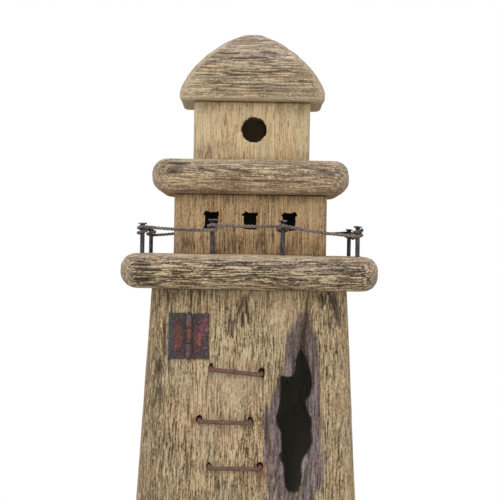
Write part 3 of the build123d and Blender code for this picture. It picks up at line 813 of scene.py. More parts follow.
def tower_half(height):
    """Half the tower's width at a height."""
    return TOWER_BASE_HALF + (TOWER_TOP_HALF - TOWER_BASE_HALF) * height / TOWER_HEIGHT


def on_front(outline):
    """An outline of (across, drop) as (across, height)."""
    outline = np.array(outline)
    return np.column_stack([outline[:, 0], TOWER_HEIGHT - outline[:, 1]])


def tower_place(across, height, side=0):
    """A place on the tower's front, or on the side that lies so many quarter turns from it."""
    place = front_place(across, -tower_half(height), height, TOWER_LEAN)
    return Matrix.Rotation(side * pi / 2, 4, "Z") @ place


def knot_cutter():
    """The ragged knothole."""
    outline = roughened(closed_curve(KNOT_HOLE, KNOT_SPAN_POINTS), KNOT_RAGGED)
    outline = np.column_stack([outline[:, 0], -outline[:, 1] / cos(TOWER_LEAN)])
    return prism(outline, tower_place(0, TOWER_HEIGHT), HOLE_CUT_DEPTH)


def brad_pits(side, name, corner=(-np.inf, -np.inf)):
    """A ragged pit over each brad's head in one side of the tower, right of and above a corner."""
    points = coordinates(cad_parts[f"{name}_brads"].data)
    points = points @ np.array(Matrix.Rotation(side * pi / 2, 3, "Z"))
    below = tower_half(points[:, 2]) + points[:, 1]
    heads = points[below < BRAD_DEPTH + BRAD_HEAD / 4][:, (0, 2)]
    heads = heads[(heads > corner).all(axis=1)]
    cutters = []
    while len(heads):
        near = np.linalg.norm(heads - heads[0], axis=1) < 1.5 * BRAD_HEAD
        outline = roughened(BRAD_PIT_RADIUS * circle(BRAD_PIT_SIDES), BRAD_PIT_RAGGED, len(cutters))
        cutters.append(prism(outline, tower_place(*heads[near].mean(axis=0), side), BRAD_PIT_DEPTH))
        heads = heads[~near]
    return cutters


def rung_holes(rung):
    """Where a rung's two legs enter the front, as (across, height)."""
    points = coordinates(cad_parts[rung].data)
    ends = points[points[:, 1] > points[:, 1].max() - RUNG_WIRE]
    middle = (points[:, 0].min() + points[:, 0].max()) / 2
    legs = [ends[ends[:, 0] < middle], ends[ends[:, 0] > middle]]
    return [(leg[:, 0].mean(), leg[:, 2].mean() - RUNG_LEG_DROP) for leg in legs]


def rung_pits():
    """A ragged pit round each leg of the rungs."""
    cutters = []
    ring = circle(RUNG_PIT_SIDES) * (1, RUNG_PIT_HEIGHT) + (0, RUNG_PIT_RAISE)
    for n in range(RUNG_COUNT):
        for side, (across, height) in enumerate(rung_holes(f"ladder_rung_{n + 1}")):
            size = RUNG_PIT_RADIUS * (1 + RUNG_PIT_GROWTH * ((n + side) % 2))
            outline = roughened(size * ring, RUNG_PIT_RAGGED, 2 * n + side)
            cutters.append(prism(outline, tower_place(across, height), RUNG_PIT_DEPTH))
    return cutters


def tower_weather(node, seed, cutters=()):
    """One of the tower's boards with upright grain, and how deep in the tower each vertex lies."""
    weather = Weather(dense_copy(node, TOWER_MESH, UP, cutters), UP, seed)
    weather.add_grain(*TOWER_GRAIN)
    below = weather.add_edge_wear(tower_half(weather.points[:, 2]))
    weather.inside = lights_up(below, *HOLE_INSIDE)
    return weather, below


def tower_seats(points):
    """The tower's faces that stand on the ground and carry the deck."""
    return np.maximum(seated(points, 0), seated(points, TOWER_HEIGHT))


def add_knot_hollow(weather, below):
    """The grey hollow round the knothole: a step down into it, furrows, and painted shade on the hole's wall.
    """
    ragged = weather.swing(KNOT_EDGE) + weather.swing(KNOT_FRAY)
    inside = distance_inside(weather.flat, on_front(KNOT_ZONE)) + ragged
    kept = KNOT_KEPT_SHARE * weather.patches(KNOT_KEPT)
    weather.grey = lights_up(inside, -KNOT_FADE, KNOT_FADE) * (1 - weather.inside) * (1 - kept)
    weather.add_blots("grey", TOWER_GREY)
    step = KNOT_STEP * lights_up(inside, -KNOT_STEP_WIDTH / 2, KNOT_STEP_WIDTH / 2)
    weather.depth += step * weather.front
    weather.depth += KNOT_FURROW_DEPTH * weather.grey * weather.patches(KNOT_FURROWS) * weather.front
    weather.deepen("check", KNOT_FURROW_DARKNESS * weather.grey * weather.patches(KNOT_DARK_FURROWS))
    # Painted shade on the knothole's wall, in the recess behind the front face
    weather.deepen("check", weather.grey * lights_up(below, *HOLE_WALL_SHADE) * (1 - weather.front))
    weather.deepen("stain", KNOT_DARKNESS * weather.grey * lights_up(weather.points[:, 2], *KNOT_DARK_RISE))


def front_board():
    """The front board: its knothole in a grey hollow, the pits of the rungs, streaks and rust."""
    cutters = [knot_cutter(), *rung_pits(), *brad_pits(0, "front", FRONT_BRAD_CORNER)]
    weather, below = tower_weather("tower_front_board", TOWER_SEED, cutters)
    weather.add_streaks(TOWER_STREAKS)
    weather.add_blots("stain", TOWER_DARK_PATCHES)
    weather.add_blots("wear", TOWER_PALE)
    weather.add_blots("rust", TOWER_RUST)
    weather.add_blots("dash", TOWER_DASHES)
    add_knot_hollow(weather, below)
    return weather.finish(np.maximum(lights_up(below, *FRONT_HELD), tower_seats(weather.points)))


def plain_board(side, name):
    """A board of the tower with nothing on it but its brads, so many quarter turns from the front."""
    seed = TOWER_SEED + SEED_STEP * side
    weather, below = tower_weather(f"tower_{name}_board", seed, brad_pits(side, name))
    return weather.finish(np.maximum(lights_up(below, *BOARD_HELD), tower_seats(weather.points)))


# Stack


def window_cutters():
    """Ragged windows with a notch at each corner, as a chisel leaves them."""
    low, _ = box_of("watch_room_block")
    cutters = []
    for n in (-1, 0, 1):
        outline = roughened(closed_curve(WINDOW_OUTLINE, WINDOW_SPAN_POINTS), WINDOW_RAGGED, n)
        place = front_place(n * WINDOW_PITCH, low[1], low[2] + WINDOW_MIDDLE)
        cutters.append(prism(outline, place, WINDOW_DEPTH))
    return cutters


def lamp_cutter():
    """The lamp hole, with a torn edge."""
    low, _ = box_of("lantern_block")
    outline = roughened(LAMP_HOLE_RADIUS * circle(LAMP_HOLE_SIDES), LAMP_HOLE_RAGGED)
    return prism(outline, front_place(LAMP_HOLE_OFFSET, low[1], low[2] + LAMP_HOLE_HEIGHT), LAMP_HOLE_DEPTH)


def block(node, seed, cutters, dashes):
    """A planed block with upright grain and worn edges, and how high each vertex lies in it, from 0 to 1."""
    weather = Weather(dense_copy(node, BLOCK_MESH, UP, cutters), UP, seed)
    low, high = box_of(node)
    heights = weather.points[:, 2]
    weather.add_grain(*BLOCK_GRAIN)
    weather.dash *= dashes
    # Painted shade: the holes' walls take the dark inside colour from this depth in
    weather.inside = lights_up(weather.add_edge_wear(high[0]), *BLOCK_INSIDE)
    # Painted shadow: a dark line along the block's top edge, where the piece above shades it
    joint = lights_up(JOINT_SHADOW_WIDTH - (high[2] - heights), 0, JOINT_SHADOW_WIDTH / 2)
    weather.deepen("check", JOINT_SHADOW_DARKNESS * joint)
    return weather, (heights - low[2]) / (high[2] - low[2])


def block_seats(weather, node):
    """A block's lower and upper faces."""
    low, high = box_of(node)
    return np.maximum(seated(weather.points, low[2]), seated(weather.points, high[2]))


def watch_room():
    """The watch room, darker at its foot with stain and painted shade, and with painted brown shade under the
    upper deck.
    """
    weather, rise = block("watch_room_block", WATCH_ROOM_SEED, window_cutters(), WATCH_ROOM_DASHES)
    weather.add_bands(rise, *WATCH_ROOM_BANDS)
    weather.add_blots("stain", BLOCK_STAINS)
    weather.add_blots("wear", BLOCK_PALE)
    return weather.finish(block_seats(weather, "watch_room_block"))


def lantern():
    """The lantern, with stains at the foot and painted brown shade running down from under the cap."""
    weather, rise = block("lantern_block", LANTERN_SEED, [lamp_cutter()], LANTERN_DASHES)
    weather.add_bands(rise, *LANTERN_BANDS)
    weather.add_blots("stain", LANTERN_STAINS)
    return weather.finish(block_seats(weather, "lantern_block"))


def slab(node, seed, below, above, wear):
    """A slab with level grain, split along its nose, between the pieces below and above it."""
    weather = Weather(dense_copy(node, DECK_MESH, ACROSS), ACROSS, seed)
    low, high = box_of(node)
    rise = (weather.points[:, 2] - low[2]) / (high[2] - low[2])
    weather.add_grain(*SLAB_GRAIN)
    weather.add_streaks(wear.streaks)
    weather.add_blots("dash", wear.dashes)
    weather.add_blots("stain", wear.stains)
    # A pale band along the slab's top edge: wear and painted highlight
    weather.add_bands((1 - rise) * (high[2] - low[2]), SLAB_TOP_WEAR_AND_HIGHLIGHT)
    weather.add_bands(rise, SLAB_GREY_BAND)
    weather.deepen("dash", wear.dash_level)
    weather.deepen("wear", wear.pale)
    weather.deepen("rust", wear.warmth * lights_up(rise, *SLAB_WARM_FALL))
    ends = lights_up(np.abs(weather.normals[:, 0]), *SLAB_END_RISE)
    weather.check *= 1 - SLAB_END_CHECK_LOSS * ends
    weather.dash *= 1 - SLAB_END_DASH_LOSS * ends
    weather.deepen("wear", END_WEAR * ends)
    weather.deepen("grey", SLAB_END_GREY * ends)
    lower = seated(weather.points, low[2], box_of(below)[1][0])
    return weather.finish(np.maximum(lower, seated(weather.points, high[2], box_of(above)[1][0])))


def cap():
    """The domed cap, greyer towards its top, with a pale worn rim that also carries painted highlight."""
    weather = Weather(dense_copy("domed_cap", BLOCK_MESH, ACROSS), ACROSS, CAP_SEED)
    low, _ = box_of("domed_cap")
    from_rim = weather.points[:, 2] - low[2]
    weather.add_grain(*CAP_GRAIN)
    weather.add_streaks(CAP_STREAKS)
    weather.add_bands(from_rim, *CAP_BANDS)
    reach = np.sort(np.abs(weather.points[:, :2]), axis=1)
    ridges = lights_up(reach[:, 0] / reach[:, 1], *CAP_RIDGE_RISE)
    weather.deepen("wear", ridges * lights_up(reach[:, 1], *CAP_RIDGE_START))
    dashes = lights_up(np.abs(from_rim - CAP_DASH_HEIGHT), *CAP_DASH_FALL)
    weather.deepen("dash", CAP_DASH_LEVEL * dashes)
    ends = lights_up(np.abs(weather.normals[:, 0]), *CAP_END_RISE)
    weather.deepen("wear", END_WEAR * ends)
    weather.deepen("grey", CAP_END_GREY * ends)
    return weather.finish(seated(weather.points, low[2], box_of("lantern_block")[1][0]))


# Metal


def corroded(node, pitting, seed):
    """A copy of a metal piece, eaten by rust."""
    piece = dense_copy(node, METAL_MESH)
    points, normals = coordinates(piece.data), vertex_normals(piece.data)
    scale = lights_up(noise(points, SCALE_WAVES, seed), *SCALE_RISE)
    grit = noise(points, GRIT_WAVES, seed + 1)
    depth = pitting * (SCALE_SHARE * scale + GRIT_SHARE * (1 + grit) / 2)
    place_vertices(piece.data, points - normals * depth[:, None])
    return piece


def lathe(name, profile, sides):
    """A turned piece about the Z axis from a profile of (radius, height), closed at both ends."""
    ring = circle(sides)
    rings = [np.column_stack([radius * ring, np.full(sides, height)]) for radius, height in profile]
    return mesh_of(name, np.vstack(rings), ring_faces(len(profile), sides))


def hinge_leaf(node, seed):
    """A hinge leaf, eaten by rust, with what is left of its paint."""
    piece = corroded(node, HINGE_PITTING, seed)
    points = coordinates(piece.data)
    lowest, highest = box_of("hinge_left_leaf")[0], box_of("hinge_right_leaf")[1]
    middle = (lowest + highest)[[0, 2]] / 2
    ragged = np.column_stack([noise(points, PAINT_FRAY_WAVES, seed + n) for n in (2, 3)])
    shades = np.tile(colour(*HINGE_GROUND), (len(points), 1))
    for patch in HINGE_PAINT:
        offset = (points[:, (0, 2)] - middle - np.array(patch.centre)) / np.array(patch.size)
        distance = np.linalg.norm(offset + PAINT_FRAY * ragged, axis=1)
        share = lights_up(PAINT_REACH - distance, 0, PAINT_FADE)
        shades += share[:, None] * (np.array(colour(*patch.shade)) - shades)
    attribute = piece.data.attributes.new("paint", "FLOAT_COLOR", "POINT")
    attribute.data.foreach_set("color", shades.astype(np.float32).ravel())
    return piece


def rail_nail(n):
    """A railing nail: a straight shank under a flat head dented by a hammer."""
    node = f"rail_nail_{n}"
    low, high = box_of(node)
    centre = (low[:2] + high[:2]) / 2
    shank, head = POST_SHANK / 2, (high[0] - low[0]) / 2
    under = high[2] - POST_HEAD_THICKNESS
    rings = np.linspace(low[2] + POST_RINGS_START, under - POST_NECK, POST_RINGS)
    profile = [(POST_TIP_RADIUS, low[2]), (shank, low[2] + POST_POINT)]
    profile += [(shank, height) for height in rings] + [(shank + HEAD_FILLET, under)]
    profile += [(head - inwards, under + rise) for inwards, rise in HEAD_UNDER]
    profile += [(head - inwards, high[2] - drop) for inwards, drop in HEAD_OVER]
    profile += [(share * head, high[2] - drop) for share, drop in HEAD_CROWN]
    mesh = lathe(f"{node}_worn", profile, POST_SIDES)
    points = coordinates(mesh)
    points[:, :2] += centre
    on_head = lights_up(points[:, 2], under, high[2])
    dents = noise(points, HEAD_DENT_WAVES, HEAD_SEED + n)
    points[:, 2] -= HEAD_DENT * (1 + dents) / 2 * on_head
    waver = POST_WAVER * (1 + noise(points, POST_WAVER_WAVES, SHANK_SEED + n)) / 2 * (1 - on_head)
    points[:, :2] -= (points[:, :2] - centre) * (waver / shank)[:, None]
    place_vertices(mesh, points)
    write_mask(mesh, "head", on_head)
    return new_object(f"{node}_worn", mesh)


# Railing cord


def cord_route():
    """Points along the railing cord: a climbing turn round each post, and straight from post to post."""
    radius = POST_SHANK / 2 + CORD_FIT + CORD_DIAMETER / 2
    climb = CORD_DIAMETER + CORD_TURN_GAP
    boxes = [box_of(f"rail_nail_{n + 1}") for n in range(POST_COUNT)]
    angle = pi / 2
    route = []
    for n in range(POST_COUNT + 1):
        post = (CORD_TIED_POST + n) % POST_COUNT
        low, high = boxes[post]
        x, y = (low[:2] + high[:2]) / 2
        at_corner = abs(x) > abs(y) / 2
        turn = 5 * pi / 2 if at_corner else 2 * pi
        head_room = CORD_CORNER_HEAD_ROOM if at_corner else CORD_MIDDLE_HEAD_ROOM
        top = high[2] - POST_HEAD_THICKNESS - head_room - CORD_DIAMETER / 2
        # The cord comes back to the tied post at the end, so its last turn there lies two turns lower
        if n == POST_COUNT:
            top -= 2 * climb
        if route:
            route.append(None)
        for share in CORD_TURN_SHARES:
            around = angle + turn * share
            below, out = climb * turn / (2 * pi) * (1 - share), radius
            # One turn comes back to its own level and crosses over itself there
            if post == CORD_LEVEL_POST:
                below, out = climb * sin(pi * share), radius + 0.5 * CORD_DIAMETER * share
            route.append((x + out * cos(around), y + out * sin(around), top - below))
        angle += turn
    tail = np.array([CORD_TAIL, 0, 0])
    return np.array([route[0] + tail, *with_sags(route), route[-1] - tail])


def with_sags(route):
    """The route with a shallow sag in place of each gap between posts."""
    filled = []
    for before, point, after in zip([None] + route, route, route[1:] + [None]):
        if point is not None:
            filled.append(np.array(point))
            continue
        for share in CORD_SAG_SHARES:
            level = np.array(before) + share * (np.array(after) - np.array(before))
            filled.append(level - np.array([0, 0, 4 * CORD_SAG * share * (1 - share)]))
    return filled


def evenly(points, step):
    """The same route with points a step apart."""
    lengths = np.concatenate([[0], np.cumsum(np.linalg.norm(np.diff(points, axis=0), axis=1))])
    places = np.linspace(0, lengths[-1], int(lengths[-1] / step) + 1)
    return np.column_stack([np.interp(places, lengths, points[:, axis]) for axis in range(3)]), places


def carried_frames(points):
    """Two directions square to a route at each point, carried along it without twisting."""
    ways = np.gradient(points, axis=0)
    ways /= np.linalg.norm(ways, axis=1)[:, None]
    side = np.cross(ways[0], (0, 0, 1))
    sides = []
    for way in ways:
        side = side - way * (side @ way)
        side /= np.linalg.norm(side)
        sides.append(side)
    sides = np.array(sides)
    return sides, np.cross(ways, sides)


def tube(points, radii, sides):
    """Points and faces of a closed tube along a route."""
    first, second = carried_frames(points)
    across, up = circle(sides).T[:, None, :, None]
    ring = across * first[:, None, :] + up * second[:, None, :]
    skin = points[:, None, :] + np.asarray(radii)[:, None, None] * ring
    return skin.reshape(-1, 3), ring_faces(len(points), sides)


def rail_cord():
    """The railing cord: strands of twine laid together."""
    route, places = evenly(cord_route(), STRAND_STEP)
    first, second = carried_frames(route)
    offset = CORD_DIAMETER / 2 - STRAND_RADIUS
    points, faces = [], []
    for strand in range(STRAND_COUNT):
        phase = (2 * pi * (places / STRAND_TWIST + strand / STRAND_COUNT))[:, None]
        centre = route + offset * (np.cos(phase) * first + np.sin(phase) * second)
        swing_places = np.column_stack([places, places * 0 + STRAND_SWING_SHIFT * strand])
        uneven = noise(swing_places, STRAND_SWING_WAVES, STRAND_SEED)
        radii = STRAND_RADIUS * (STRAND_FULLNESS + STRAND_SWING * uneven)
        skin, strand_faces = tube(centre, radii, STRAND_SIDES)
        faces += [tuple(index + len(points) * len(skin) for index in face) for face in strand_faces]
        points.append(skin)
    return new_object("rail_cord_twine", mesh_of("rail_cord_twine", np.vstack(points), faces))


# Materials


class Finish:
    """A material's node tree, with short ways to add the nodes that the finishes use."""

    def __init__(self, name):
        self.material = bpy.data.materials.new(name)
        self.material.use_nodes = True
        self.nodes = self.material.node_tree.nodes
        self.links = self.material.node_tree.links
        self.nodes.clear()
        place = self.nodes.new("ShaderNodeTexCoord").outputs["Object"]
        self.place = self.vector("MULTIPLY", place, (1 / MM,) * 3)

    def give(self, socket, value):
        """Links or sets an input."""
        if isinstance(value, bpy.types.NodeSocket):
            self.links.new(value, socket)
        else:
            socket.default_value = value

    def maths(self, kind, operation, a, b):
        """A node that works out one value from two."""
        node = self.nodes.new(kind)
        node.operation = operation
        self.give(node.inputs[0], a)
        self.give(node.inputs[1], b)
        return node.outputs[0]

    def vector(self, operation, a, b):
        return self.maths("ShaderNodeVectorMath", operation, a, b)

    def times(self, a, b):
        return self.maths("ShaderNodeMath", "MULTIPLY", a, b)

    def plus(self, a, b):
        return self.maths("ShaderNodeMath", "ADD", a, b)

    def total(self, *weighted):
        """The sum of values, each with its weight."""
        return reduce(self.plus, [self.times(value, weight) for value, weight in weighted])

    def warp(self, wavelengths, amount):
        """Bends the place that the textures are read at, by up to an amount."""
        node = self.texture(wavelengths, 1.0, 0.5)
        shift = self.vector("SUBTRACT", node.outputs["Color"], (0.5, 0.5, 0.5))
        self.place = self.vector("ADD", self.place, self.vector("MULTIPLY", shift, (2 * amount,) * 3))

    def noise(self, wavelengths, detail=2.0, roughness=0.5):
        """Noise from 0 to 1 that changes over a wavelength, in millimetres, along each axis."""
        return self.texture(wavelengths, detail, roughness).outputs[0]

    def texture(self, wavelengths, detail, roughness):
        """A noise texture node."""
        node = self.nodes.new("ShaderNodeTexNoise")
        self.give(node.inputs["Vector"], self.vector("DIVIDE", self.place, tuple(wavelengths)))
        node.inputs["Scale"].default_value = 1.0
        node.inputs["Detail"].default_value = detail
        node.inputs["Roughness"].default_value = roughness
        return node

    def rise(self, value, low, high):
        """0 below low, 1 above high, and a smooth rise between them."""
        node = self.nodes.new("ShaderNodeMapRange")
        node.interpolation_type = "SMOOTHSTEP"
        self.give(node.inputs["Value"], value)
        node.inputs["From Min"].default_value = low
        node.inputs["From Max"].default_value = high
        return node.outputs[0]

    def ramp(self, value, stops):
        """A colour that follows a value through stops of (value, colour)."""
        node = self.nodes.new("ShaderNodeValToRGB")
        for _ in stops[2:]:
            node.color_ramp.elements.new(0.5)
        for element, (place, shade) in zip(node.color_ramp.elements, stops):
            element.position = place
            element.color = shade
        self.give(node.inputs[0], value)
        return node.outputs["Color"]

    def mask(self, name, output="Fac"):
        """One of the masks or colours that the mesh carries."""
        node = self.nodes.new("ShaderNodeAttribute")
        node.attribute_name = name
        return node.outputs[output]

    def mix(self, share, a, b, blend="MIX"):
        node = self.nodes.new("ShaderNodeMix")
        node.data_type = "RGBA"
        node.blend_type = blend
        self.give(node.inputs[0], share)
        self.give(node.inputs[6], a)
        self.give(node.inputs[7], b)
        return node.outputs[2]

    def over(self, mask, strength, shade, top):
        """A shade with another one over it, where a mask is and as strong as it says."""
        return self.mix(self.times(mask, strength), shade, top)

    def surface(self, base, roughness, height, bump, metallic=0.0, gloss=0.3):
        """The shader and the material's output, with a bump of a height in millimetres."""
        raised = self.nodes.new("ShaderNodeBump")
        raised.inputs["Strength"].default_value = 1.0
        raised.inputs["Distance"].default_value = bump * MM
        self.give(raised.inputs["Height"], height)
        shader = self.nodes.new("ShaderNodeBsdfPrincipled")
        self.give(shader.inputs["Base Color"], base)
        self.give(shader.inputs["Roughness"], roughness)
        self.give(shader.inputs["Metallic"], metallic)
        shader.inputs["Specular IOR Level"].default_value = gloss
        self.give(shader.inputs["Normal"], raised.outputs["Normal"])
        output = self.nodes.new("ShaderNodeOutputMaterial")
        self.links.new(shader.outputs[0], output.inputs["Surface"])
        return self.material


# A wood: the way of its grain, how far apart its steps of tone lie, and its colours
Wood = namedtuple("Wood", "grain spread pale base brown dark grey inside")

TOWER_WOOD = Wood(
    UP, 1.05, (203, 182, 149), (167, 145, 114), (131, 108, 80), (60, 49, 38), (103, 91, 95), (190, 184, 168)
)
# Its inside colour is painted shade in the windows
WATCH_ROOM_WOOD = Wood(
    UP, 1.2, (198, 170, 132), (168, 140, 105), (136, 107, 73), (60, 44, 31), (128, 114, 100), (36, 34, 34)
)
# Its inside colour is painted shade in the lamp hole, lighter than the windows'
LANTERN_WOOD = Wood(
    UP, 1.9, (220, 202, 168), (198, 176, 141), (166, 140, 102), (100, 78, 54), (150, 138, 122), (140, 120, 98)
)
SLAB_WOOD = Wood(
    ACROSS, 0.75, (200, 179, 148), (142, 122, 96), (102, 84, 64), (46, 38, 36), (142, 128, 120), (60, 50, 42)
)
CAP_WOOD = Wood(
    ACROSS, 1.15, (196, 177, 148), (147, 127, 101), (110, 91, 70), (60, 49, 42), (168, 151, 136), (60, 50, 42)
)

# Fibres of every wood: wavelengths across and along the grain, shares of the tone, and relief
WARP_WAVES = (30, 45)
WARP_REACH = 1.2
BROAD_WAVES = (7, 60)
BROAD_SHARE = 0.14
BUNDLE_WAVES = (1.5, 28)
BUNDLE_SHARE = 0.16
BUNDLE_RELIEF = 0.6
FIBRE_WAVES = (0.65, 15)
FIBRE_SHARE = 0.48
SPECK_WAVES = (0.8, 1.5)
SPECK_SHARE = 0.22
WOOD_BUMP = 0.35
WOOD_ROUGHNESS = (-0.6, 0.9)
WOOD_GLOSS = 0.2

# Steps of tone for dark to pale wood, and for weathered grey with shares of its brightness
WOOD_STEPS = (-0.13, -0.06, 0.0, 0.10)
GREY_STEPS = (-0.12, -0.03, 0.03, 0.11)
GREY_SHARES = (0.6, 0.92, 1.06, 1.36)

# Faint casts of colour, as shares of red, green and blue
OLIVE_CAST = (0.97, 1.0, 0.98, 1.0)
WARM_CAST = (1.03, 0.995, 0.95, 1.0)
CAST_WAVES = (12, 30)
CAST_RISE = (0.38, 0.62)

# What the weather puts over the fibres, with painted shade and painted highlight
DASH_WAVES = (0.7, 9)
DASH_LIFT = 0.14
DASH_RISE = (0.62, 0.72)
DASH_STRENGTH = 0.75
DASH_RELIEF = -0.5
STAIN_AND_SHADE_WAVES = (1.0, 5)
STAIN_AND_SHADE_RISE = (0.3, 0.6)
STAIN_AND_SHADE_STRENGTH = 0.8
WEAR_FALL = (0.62, 0.40)
WEAR_STRENGTH = 0.7
GREY_STRENGTH = 0.92
CHECK_AND_SHADE_STRENGTH = 0.9
RUST_STRENGTH = 0.7
RUST_STAIN = (150, 92, 50)


def wood(name, kind):
    """Weathered softwood: fibres along the grain, dark dashes, pale specks, and the weather's masks, painted
    shade and highlight among them.
    """
    finish = Finish(name)
    finish.warp(grain_waves(kind.grain, WARP_WAVES), WARP_REACH)
    pale, base, brown, dark = (colour(*shade) for shade in (kind.pale, kind.base, kind.brown, kind.dark))

    def layer(waves, detail=0.0):
        return finish.noise(grain_waves(kind.grain, waves), detail)

    def toned(steps, shades):
        places = [0.5 + kind.spread * step for step in steps]
        return finish.ramp(tone, list(zip(places, shades)))

    fibres, bundles = layer(FIBRE_WAVES, 1), layer(BUNDLE_WAVES, 1)
    broad, specks = layer(BROAD_WAVES, 2), layer(SPECK_WAVES)
    layers = (broad, BROAD_SHARE), (bundles, BUNDLE_SHARE), (fibres, FIBRE_SHARE), (specks, SPECK_SHARE)
    tone = finish.total(*layers)
    shade = toned(WOOD_STEPS, (dark, brown, base, pale))
    greys = [colour(*(share * value for value in kind.grey)) for share in GREY_SHARES]
    shade = finish.over(finish.mask("grey"), GREY_STRENGTH, shade, toned(GREY_STEPS, greys))
    cast = finish.mix(finish.rise(layer(CAST_WAVES, 2), *CAST_RISE), OLIVE_CAST, WARM_CAST)
    shade = finish.mix(1.0, shade, cast, "MULTIPLY")
    dashes = finish.total((layer(DASH_WAVES, 1), 1.0), (finish.mask("dash"), DASH_LIFT))
    strokes = finish.rise(dashes, *DASH_RISE)
    shade = finish.over(strokes, DASH_STRENGTH, shade, dark)
    # Stains, with the painted shade under the upper deck and under the cap
    stains = finish.times(finish.mask("stain"), finish.rise(layer(STAIN_AND_SHADE_WAVES, 2), *STAIN_AND_SHADE_RISE))
    shade = finish.over(stains, STAIN_AND_SHADE_STRENGTH, shade, dark)
    # Wear, with the painted highlight on the slabs' top edges and on the cap's rim
    worn = finish.times(finish.mask("wear"), finish.rise(layer(FIBRE_WAVES, 2), *WEAR_FALL))
    shade = finish.over(worn, WEAR_STRENGTH, shade, pale)
    # Dark checks and streaks, with painted shade on the blocks' joint lines and the knothole's wall
    shade = finish.over(finish.mask("check"), CHECK_AND_SHADE_STRENGTH, shade, dark)
    shade = finish.over(finish.mask("rust"), RUST_STRENGTH, shade, colour(*RUST_STAIN))
    # The inside colour: pale bare wood in the tower, painted shade in the blocks' windows and lamp hole
    shade = finish.mix(finish.mask("inside"), shade, colour(*kind.inside))
    height = finish.total((fibres, 1.0), (bundles, BUNDLE_RELIEF), (strokes, DASH_RELIEF))
    return finish.surface(shade, finish.rise(fibres, *WOOD_ROUGHNESS), height, WOOD_BUMP, gloss=WOOD_GLOSS)


def rust():
    """Rusted wire: brown scale over dark iron, with painted highlight in pale flecks."""
    finish = Finish("rusted_wire")
    iron, brown, pale = colour(76, 52, 46), colour(114, 76, 66), colour(164, 126, 110)
    scale = finish.noise((1.6, 1.6, 1.6), detail=4, roughness=0.6)
    grit = finish.noise((0.5, 0.5, 0.5), detail=2)
    shade = finish.mix(finish.rise(scale, 0.40, 0.62), iron, brown)
    # Pale flecks: painted highlight scattered over the wire
    shade = finish.mix(finish.rise(grit, 0.56, 0.72), shade, pale)
    return finish.surface(shade, finish.rise(scale, -0.6, 1.0), grit, bump=0.12, gloss=0.5)


def steel(name, dark, light):
    """Dull steel with darker oxide, and painted glints in small patches on a nail's head."""
    finish = Finish(name)
    grey, painted_glint = colour(140, 136, 146), colour(216, 216, 222)
    oxide = finish.noise((2.4, 2.4, 4.0), detail=3, roughness=0.6)
    drawn = finish.noise((0.4, 0.4, 6.0), detail=2)
    glint_spots = finish.noise((1.5, 1.5, 1.5), detail=1)
    shade = finish.mix(finish.rise(oxide, 0.36, 0.62), dark, light)
    shade = finish.over(finish.rise(drawn, 0.55, 0.7), 0.4, shade, grey)
    # Painted glint: near-white patches on the nail heads
    shade = finish.over(finish.mask("head"), finish.rise(glint_spots, 0.5, 0.6), shade, painted_glint)
    return finish.surface(shade, finish.rise(oxide, -0.1, 1.2), drawn, bump=0.12, metallic=0.7, gloss=0.5)


def old_paint():
    """Old paint on the hinge: the colours that its mesh carries, broken by grit and dark scale."""
    finish = Finish("worn_hinge_paint")
    dark, pale, iron = colour(44, 38, 42), colour(190, 150, 140), colour(52, 46, 50)
    grit = finish.noise((0.8, 0.8, 1.0), detail=2)
    scale = finish.noise((1.4, 1.4, 2.6), detail=3, roughness=0.6)
    shade = finish.mask("paint", "Color")
    shade = finish.over(finish.rise(grit, 0.52, 0.36), 0.55, shade, dark)
    shade = finish.over(finish.rise(grit, 0.60, 0.72), 0.35, shade, pale)
    shade = finish.over(finish.rise(scale, 0.55, 0.66), 0.5, shade, iron)
    return finish.surface(shade, finish.rise(scale, 0.1, 0.9), grit, bump=0.2, gloss=0.35)


def twine():
    """Grey twine: fibres of light and dark."""
    finish = Finish("grey_twine")
    dark, pale, brown = colour(66, 59, 56), colour(150, 138, 130), colour(78, 66, 60)
    fibre = finish.noise((0.8, 0.8, 0.6), detail=3, roughness=0.6)
    tone = finish.noise((12, 12, 4), detail=2)
    shade = finish.mix(finish.rise(fibre, 0.35, 0.65), dark, pale)
    shade = finish.over(finish.rise(tone, 0.45, 0.65), 0.5, shade, brown)
    return finish.surface(shade, roughness=0.9, height=fibre, bump=0.3, gloss=0.1)


# Stage, light and camera


def seen_white(tree, lit, kind):
    """A shader that is white to the camera and in reflections, and lit elsewhere."""
    path = tree.nodes.new("ShaderNodeLightPath")
    seen = path.outputs["Is Camera Ray"]
    for ray in ("Is Glossy Ray", "Is Transmission Ray"):
        either = tree.nodes.new("ShaderNodeMath")
        either.operation = "MAXIMUM"
        tree.links.new(seen, either.inputs[0])
        tree.links.new(path.outputs[ray], either.inputs[1])
        seen = either.outputs[0]
    white = tree.nodes.new(kind)
    white.inputs["Color"].default_value = WHITE
    choice = tree.nodes.new("ShaderNodeMixShader")
    tree.links.new(seen, choice.inputs[0])
    tree.links.new(lit, choice.inputs[1])
    tree.links.new(white.outputs[0], choice.inputs[2])
    return choice.outputs[0]


def sky():
    """An even white surround."""
    world = bpy.data.worlds.new("studio")
    world.use_nodes = True
    tree = world.node_tree
    tree.nodes.clear()
    lit = tree.nodes.new("ShaderNodeBackground")
    lit.inputs["Color"].default_value = WHITE
    lit.inputs["Strength"].default_value = SKY_STRENGTH
    output = tree.nodes.new("ShaderNodeOutputWorld")
    tree.links.new(seen_white(tree, lit.outputs[0], "ShaderNodeBackground"), output.inputs["Surface"])
    bpy.context.scene.world = world


